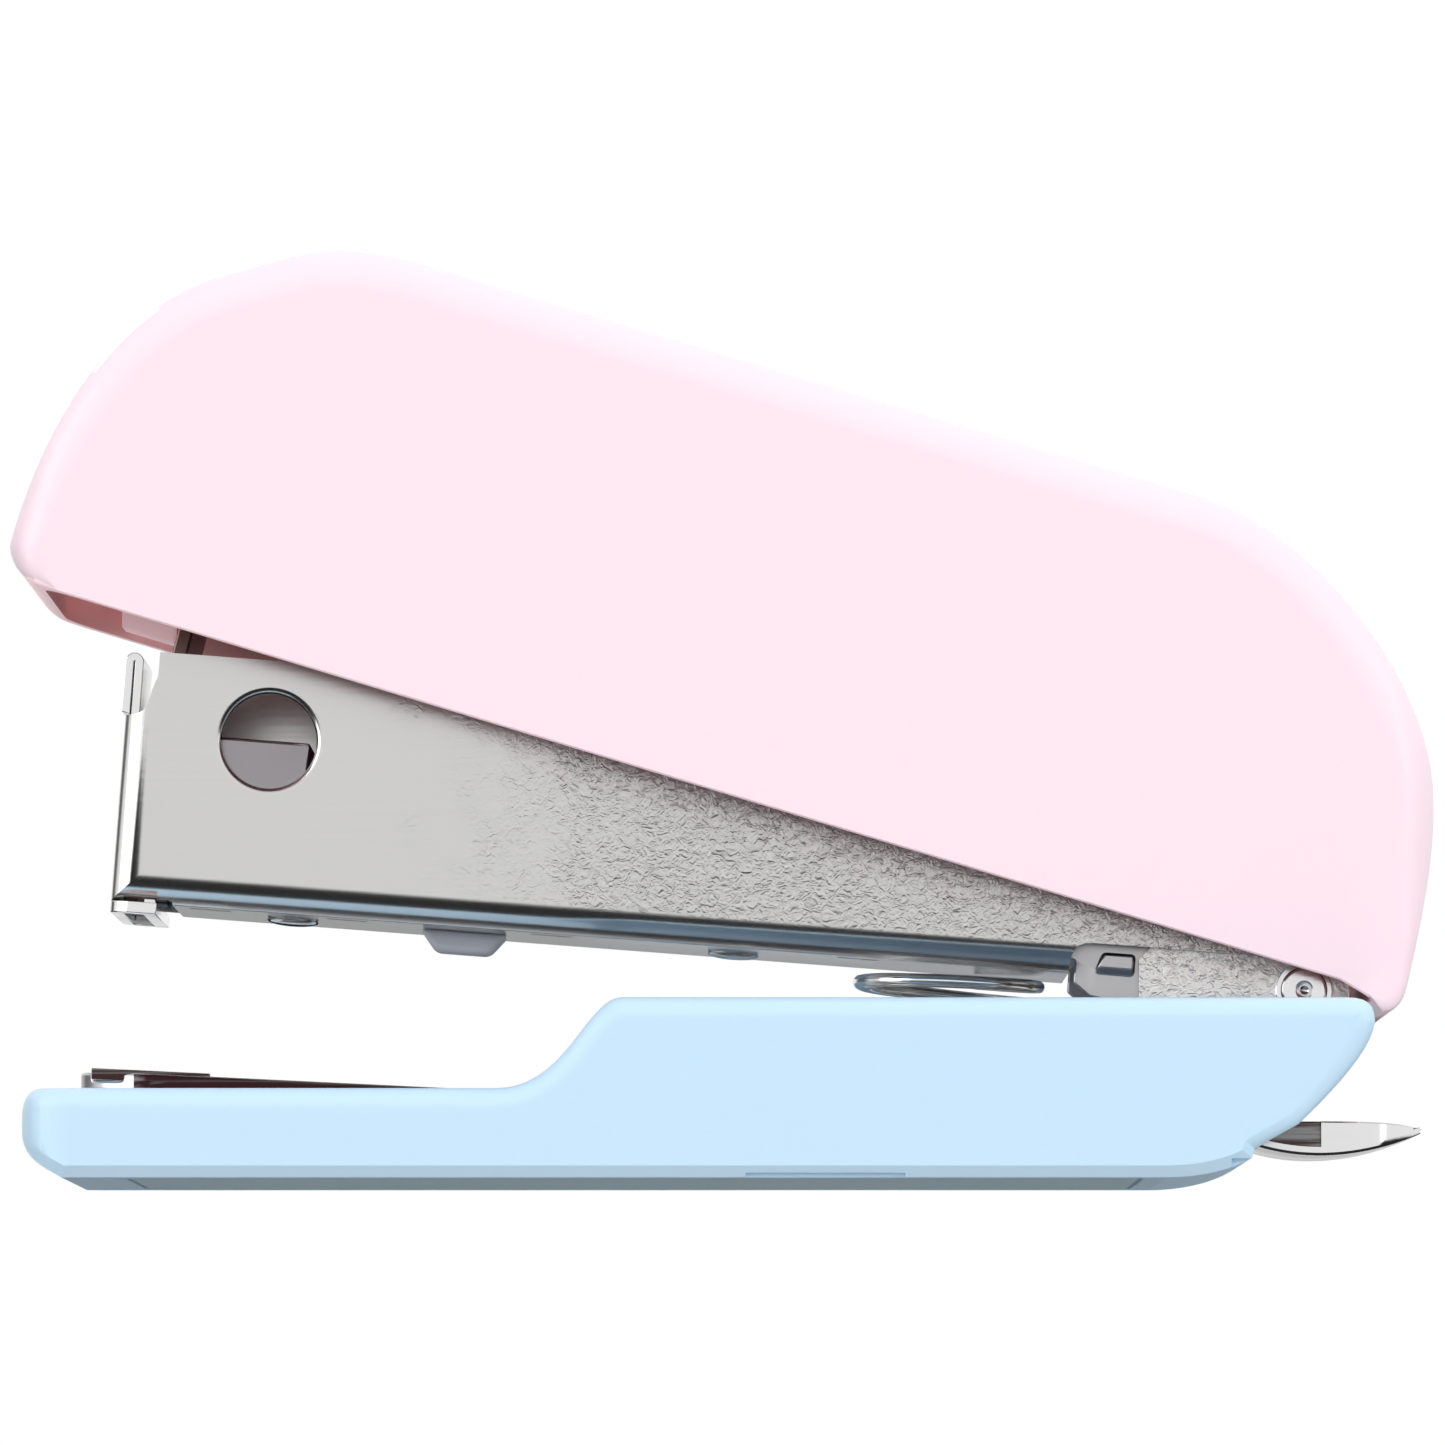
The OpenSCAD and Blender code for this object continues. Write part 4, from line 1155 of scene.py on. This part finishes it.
makeBaseShell()
makeBottomPad()
makeBasePlate()
makeAnvil()
makeHingeBracket()
makeBaseFixings()
makeReturnSpring()
makeStapleRemover()
print("base ready")

# ---- magazine, drawn with the pin at the origin and the nose towards -X

mag = {
    "length": 52.3, "half": 7.2, "height": 10.96, "sheet": 0.55, "bend": 1.25,
    "floorFrom": 10.3, "floorTo": 49.6, "stepHeight": 8.15, "stepBack": 50.9,
    "window": (45.9, 7.45), "windowRadius": 2.07, "slots": (48, 42, 33, 19.5),
    "railHalf": 5.8, "railThick": 0.5, "railTop": 6.4, "railFloor": 0.6, "railFront": 50.3,
    "rodHeight": 3.3, "rodRadius": 0.8, "stop": 9.0, "stopThick": 0.6, "pusherBack": 44.1,
    "pusherFront": 50.2, "slotIn": 50.87, "pinClear": 1.05,
}
onMagazine = toMagazine()
onArm = toMagazine(armTilt)


def makeMagazineFrame():
    m = mag
    bm = bmesh.new()
    verts = block(bm, (-m["length"], -m["half"], 0), (0.98, m["half"], m["height"]))
    edges = {e for v in verts for e in v.link_edges}
    bends = [e for e in edges
             if all(v.co.z < 0.01 for v in e.verts) and abs(e.verts[0].co.x - e.verts[1].co.x) > 1
             or all(v.co.x < -m["length"] + 0.01 for v in e.verts)
             and abs(e.verts[0].co.z - e.verts[1].co.z) > 1]
    bmesh.ops.bevel(bm, geom=bends, offset=m["bend"], offset_type="OFFSET", segments=16, profile=0.5,
                    affect="EDGES", material=-1)
    bmesh.ops.recalc_face_normals(bm, faces=bm.faces)
    openSides = [f for f in bm.faces if f.normal.z > 0.9 or f.normal.x > 0.9]
    bmesh.ops.delete(bm, geom=openSides, context="FACES")
    frameObj = loose("magazineFrame", bm)
    wall = frameObj.modifiers.new("sheet", "SOLIDIFY")
    wall.thickness = m["sheet"]
    wall.offset = -1
    wall.use_even_offset = True
    settled(frameObj)
    wide = 9
    step = bmesh.new()
    stepCurve = curve((52.1, m["stepHeight"]), (51.15, 8.2), (51.4, 8.9), (m["stepBack"] + 0.05, 9.9), 10)
    slab(step, ahead(joined([(60, 20), (60, m["stepHeight"])], stepCurve, [(m["stepBack"] + 0.02, 20)])),
         -wide, wide)
    tail = bmesh.new()
    tailCurve = curve((9.3, 1.35), (10.1, 1.35), (m["floorFrom"], 1.0), (m["floorFrom"], 0.2), 5)
    slab(tail, ahead(joined([(-3, -2), (-3, 1.35), (9.3, 1.35)], tailCurve, [(m["floorFrom"], -2)])),
         -wide, wide)
    mouth = bmesh.new()
    block(mouth, (-m["length"] + m["sheet"], -6.6, -1), (-m["floorTo"], 6.6, 1.2))
    window = bmesh.new()
    turned(window, roundRod(m["windowRadius"], 10, 0.01), 64, "Y", (-m["window"][0], -10, m["window"][1]))
    # the window's edge rolls inward all round
    roll = 0.28
    flare = bmesh.new()
    lip = [(m["windowRadius"] + roll + roll * math.cos(t), 1 + roll - roll * math.sin(t))
           for t in (math.radians(a) for a in range(90, 181, 15))]
    turned(flare, [(0, 0), (m["windowRadius"] + roll, 0)] + lip + [(0, 1 + roll)], 64, "Y",
           (-m["window"][0], -m["half"] - 1, m["window"][1]))
    slots = bmesh.new()
    for u in m["slots"]:
        block(slots, (-u - 0.9, -4.6, -1), (-u + 0.9, -3.6, 0.59))
    cutAway(frameObj, step, tail, mouth, window, flare, slots)
    finishPiece(frameObj, "plate", "magazine", "steel_sheet", ["magazine_frame"], onMagazine, edge=0.13,
                segments=3)


def makeStapleRail():
    m = mag
    eye = 1.9
    bevel = 0.6
    arc = [(eye * math.cos(t), eye * math.sin(t)) for t in (math.radians(a) for a in range(180, 271, 10))]
    wall = ahead([(m["railFront"], m["railFloor"]), (m["railFront"], m["railTop"] - bevel),
                  (m["railFront"] - bevel, m["railTop"]), (4, m["railTop"]), (-eye, 1.0)])
    wall += ahead(arc)
    wall += [(-2.8, -eye), (-9.3, -0.95), (-10.05, -0.4), (-10.05, m["railFloor"])]
    bm = bmesh.new()
    for side in (-1, 1):
        low, high = sorted((side * (m["railHalf"] - m["railThick"]), side * m["railHalf"]))
        slab(bm, wall, low, high)
    rail = loose("stapleRail", bm)
    parts = bmesh.new()
    block(parts, (-m["railFront"], -5.5, m["railFloor"]), (-3.2, 5.5, m["railFloor"] + m["railThick"]))
    lip = bmesh.new()
    block(lip, (-m["railFront"], -5.5, m["railFloor"] + 0.1), (-m["railFront"] + 0.6, 5.5, 5.4))
    for piece in (parts, lip):
        combine(rail, "UNION", piece)
    # a tab bent out of each wall, just in front of the bracket's ear
    tab = {"from": 7.5, "to": 9.1, "low": 0.05, "high": 0.95, "root": 0.3, "out": 6.5, "lean": 0.3,
           "lift": 0.25}
    outline = ahead([(tab["from"], tab["low"]), (tab["to"], tab["low"]),
                     (tab["to"] - tab["lean"], tab["high"]), (tab["from"], tab["high"])])
    for side in (-1, 1):
        piece = bmesh.new()
        low, high = sorted((side * (m["railHalf"] - tab["root"]), side * tab["out"]))
        # the tab's outer end is lifted along its lower edge
        for vert in slab(piece, outline, low, high):
            if abs(vert.co.y) > tab["out"] - 0.3 and vert.co.z < tab["high"] / 2:
                vert.co.z += tab["lift"]
        combine(rail, "UNION", piece)
    cutAway(rail, pinHole())
    finishPiece(rail, "smooth", "magazine", "steel_sheet", ["staple_rail"], onMagazine, edge=0.09)


def pinHole():
    hole = bmesh.new()
    turned(hole, roundRod(mag["pinClear"], 20, 0.01), 40, "Y", (0, -10, 0))
    return hole


def makeNoseGuide():
    m = mag
    n = {"back": 50.25, "wallBack": 50.33, "wallHalf": 6.3, "slotHalf": 6.45, "corner": 1.2, "under": -0.5,
         "wallTop": 1.4}
    bm = bmesh.new()
    roundedPlan(bm, -m["length"], -n["back"], m["half"], n["corner"], n["under"], 0)
    nose = loose("noseGuide", bm)
    back = bmesh.new()
    block(back, (-m["slotIn"], -n["wallHalf"], -0.3), (-n["wallBack"], n["wallHalf"], n["wallTop"]))
    combine(nose, "UNION", back)
    slot = bmesh.new()
    block(slot, (-m["length"] + m["sheet"], -n["slotHalf"], -2), (-m["slotIn"], n["slotHalf"], 2))
    cutAway(nose, slot)
    finishPiece(nose, "bright", "magazine", "bright_steel", ["nose_guide"], onMagazine, edge=0.22, segments=4)


def makeFrontHook():
    # a strip that rises inside the front wall and curls over forwards
    h = {"leg": 0.37, "gap": 0.06, "high": 10.62, "foot": 8.17, "end": 8.4, "endIn": 8.3, "half": 4.4}
    inner = mag["length"] - mag["sheet"] + 0.01
    leg, gap, high = h["leg"], h["gap"], h["high"]
    middle = inner + leg + gap / 2
    outer = [(middle - (leg + gap / 2) * math.cos(t), high + (leg + gap / 2) * math.sin(t))
             for t in (math.radians(a) for a in range(0, 181, 20))]
    within = [(middle - gap / 2 * math.cos(t), high + gap / 2 * math.sin(t))
              for t in (math.radians(a) for a in range(180, -1, -30))]
    profile = [(inner, h["foot"])] + outer
    profile += [(inner + 2 * leg + gap, h["end"]), (inner + leg + gap, h["endIn"])]
    profile += within + [(inner + leg, h["foot"])]
    bm = bmesh.new()
    slab(bm, ahead(profile), -h["half"], h["half"])
    simplePiece("frontHook", bm, "bright", "magazine", "bright_steel", ["front_hook"], onMagazine, edge=0.11,
                segments=3)


def makeMagazineFittings():
    m = mag
    bm = bmesh.new()
    slab(bm, ahead([(34.95, -0.01), (35.7, -0.95), (38.1, -0.95), (38.85, -0.01)]), -1.6, 1.6)
    simplePiece("bumpStop", bm, "white", "magazine", "white_pad", ["bump_stop"], onMagazine, edge=0.3,
                segments=4)
    turn = Matrix.Rotation(math.radians(magazineTilt), 4, "Y") @ Matrix.Rotation(math.pi, 4, "X")
    rivets = (("railRivetFront", "rail_rivet_front", 44.5), ("railRivetRear", "rail_rivet_rear", 25))
    for name, node, u in rivets:
        domedRivet(name, node, "magazine", onMagazine @ Vector((-u, 0, 0)), turn, shank=0.69, head=1.15,
                   height=0.3, length=1.3)
    bm = bmesh.new()
    block(bm, (-m["stop"] - m["stopThick"], -5.25, 1.12), (-m["stop"], 5.25, 5.8))
    simplePiece("rodStop", bm, "smooth", "magazine", "steel_sheet", ["rod_stop"], onMagazine, edge=0.1)
    bm = bmesh.new()
    rodEnd = m["pusherFront"]
    rod = roundRod(m["rodRadius"] - 0.01, rodEnd - m["stop"] + 0.4)
    turned(bm, rod, 28, "X", (-rodEnd, 0, m["rodHeight"]))
    simplePiece("guideRod", bm, "bright", "magazine", "bright_steel", ["guide_rod"], onMagazine)


def makePusherSpring():
    m = mag
    s = {"wire": 0.45, "radius": 1.5, "turns": 26, "closed": 1.03, "seatGap": 0.02, "slack": 0.66}
    length = m["pusherBack"] - m["stop"] - s["slack"]
    closed = (1, s["wire"] * s["closed"])
    rise = length - 3 * s["wire"] * s["closed"]
    bm = bmesh.new()
    coil(bm, s["radius"], s["wire"], [closed, (s["turns"], rise), closed], 18, 8)
    seat = Vector((-m["stop"] - m["stopThick"] - s["seatGap"], 0, m["rodHeight"]))
    place = onMagazine @ Matrix.Translation(seat) @ Matrix.Rotation(-math.pi / 2, 4, "Y")
    spring = simplePiece("pusherSpring", bm, "wire", "magazine", "spring_wire", ["pusher_spring"], place)
    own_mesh(spring)


def makePusher():
    # a roof over the rail, a cheek down each side of it and a web that rides on the rod
    m = mag
    k = {"half": 6.45, "clear": 0.1, "top": 7.5, "cheekLow": 1.4, "webThick": 2, "webHalf": 4.9,
         "webLow": 1.5, "into": 7}
    front, back = -m["pusherFront"], -m["pusherBack"]
    inner = m["railHalf"] + k["clear"]
    bm = bmesh.new()
    block(bm, (front, -k["half"], m["railTop"] + k["clear"]), (back, k["half"], k["top"]))
    saddle = loose("pusher", bm)
    for low, high in (((front, inner, k["cheekLow"]), (back, k["half"], k["into"])),
                      ((front, -k["half"], k["cheekLow"]), (back, -inner, k["into"])),
                      ((back - k["webThick"], -k["webHalf"], k["webLow"]), (back, k["webHalf"], k["into"]))):
        piece = bmesh.new()
        block(piece, low, high)
        combine(saddle, "UNION", piece)
    bore = bmesh.new()
    turned(bore, roundRod(m["rodRadius"] + 0.08, 20, 0.01), 32, "X", (-60, 0, m["rodHeight"]))
    cutAway(saddle, bore)
    finishPiece(saddle, "dimShadedSteel", "pusher", "steel_sheet", ["pusher"], onMagazine, edge=0.14)


makeMagazineFrame()
makeStapleRail()
makeNoseGuide()
makeFrontHook()
makeMagazineFittings()
makePusherSpring()
makePusher()
print("magazine ready")

# ---- driver and cover spring

driver = {"half": 6.2, "under": 9.6, "thick": 0.7, "bladeFront": 51.6, "bladeThick": 0.65, "bladeHalf": 6.3}


def makeDriverArm():
    # a strap with a rail along each side and two ears that run on the pin
    front = driver["bladeFront"] - driver["bladeThick"]
    under = driver["under"]
    top = under + driver["thick"]
    side = {"outline": [(6, under + 0.1), (48, under + 0.1), (47, 11.6), (8, 11.6)], "in": 5.5, "out": 6.19}
    ear = {"radius": 1.9, "in": 4.45, "out": 5.15}
    bottom = [(ear["radius"] * math.cos(t), ear["radius"] * math.sin(t))
              for t in (math.radians(a) for a in range(190, 361, 10))]
    earOutline = ahead([(8, top - 0.01), (7, under - 1), (ear["radius"], 0)]) + bottom
    earOutline += ahead([(-1.3, 1.4), (1, top - 0.01)])
    bm = bmesh.new()
    block(bm, (-front, -driver["half"], under), (-1, driver["half"], top))
    arm = loose("driverArm", bm)
    for way in (-1, 1):
        for outline, inner, outer in ((ahead(side["outline"]), side["in"], side["out"]),
                                      (earOutline, ear["in"], ear["out"])):
            piece = bmesh.new()
            low, high = sorted((way * inner, way * outer))
            slab(piece, outline, low, high)
            combine(arm, "UNION", piece)
    cutAway(arm, pinHole())
    finishPiece(arm, "smooth", "cover", "steel_sheet", ["driver_arm"], onArm, edge=0.12)


def makeDriverBlade():
    bm = bmesh.new()
    front = driver["bladeFront"]
    block(bm, (-front, -driver["bladeHalf"], 0),
          (-(front - driver["bladeThick"]), driver["bladeHalf"], driver["under"] + driver["thick"]))
    simplePiece("driverBlade", bm, "blade", "cover", "blade_steel", ["driver_blade"], onArm, edge=0.09)


def makeArmRivets():
    flip = Matrix.Rotation(math.pi, 4, "X")
    turn = Matrix.Rotation(math.radians(magazineTilt + armTilt), 4, "Y") @ flip
    for name, node, u in (("armRivetFront", "arm_rivet_front", 40), ("armRivetRear", "arm_rivet_rear", 16)):
        domedRivet(name, node, "cover", onArm @ Vector((-u, 0, driver["under"])), turn, height=0.38, length=3.5)


def makeCoverSpring():
    # a torsion coil round the pin: one leg lies along the magazine and the other leans on the cover
    s = {"wire": 0.5, "inner": 1.15, "reach": 3.9, "leg": 8.0, "turns": 13.75, "upright": 9.3, "lean": -20,
         "sink": 0.1}
    radius = s["inner"] + s["wire"] / 2
    end = s["reach"] - s["wire"] / 2
    bm = bmesh.new()
    coil(bm, radius, s["wire"], [(s["turns"], 2 * s["reach"] - s["wire"])], 24, 10)
    turn = Matrix.Translation((0, s["reach"], 0)) @ Matrix.Rotation(math.pi / 2, 4, "X")
    bmesh.ops.transform(bm, verts=bm.verts, matrix=turn)
    turned(bm, roundRod(s["wire"] / 2, s["leg"]), 10, "X", (-s["leg"], -end, radius))
    post = turned(bm, roundRod(s["wire"] / 2, s["upright"]), 10)
    lean = Matrix.Rotation(math.radians(s["lean"]), 4, "Y")
    bmesh.ops.transform(bm, verts=post, matrix=Matrix.Translation((radius, end, -s["sink"])) @ lean)
    spring = simplePiece("coverSpring", bm, "wire", None, "spring_wire", [], onMagazine)
    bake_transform(spring)
    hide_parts("cover_spring")


makeDriverArm()
makeDriverBlade()
makeArmRivets()
makeCoverSpring()
print("driver ready")
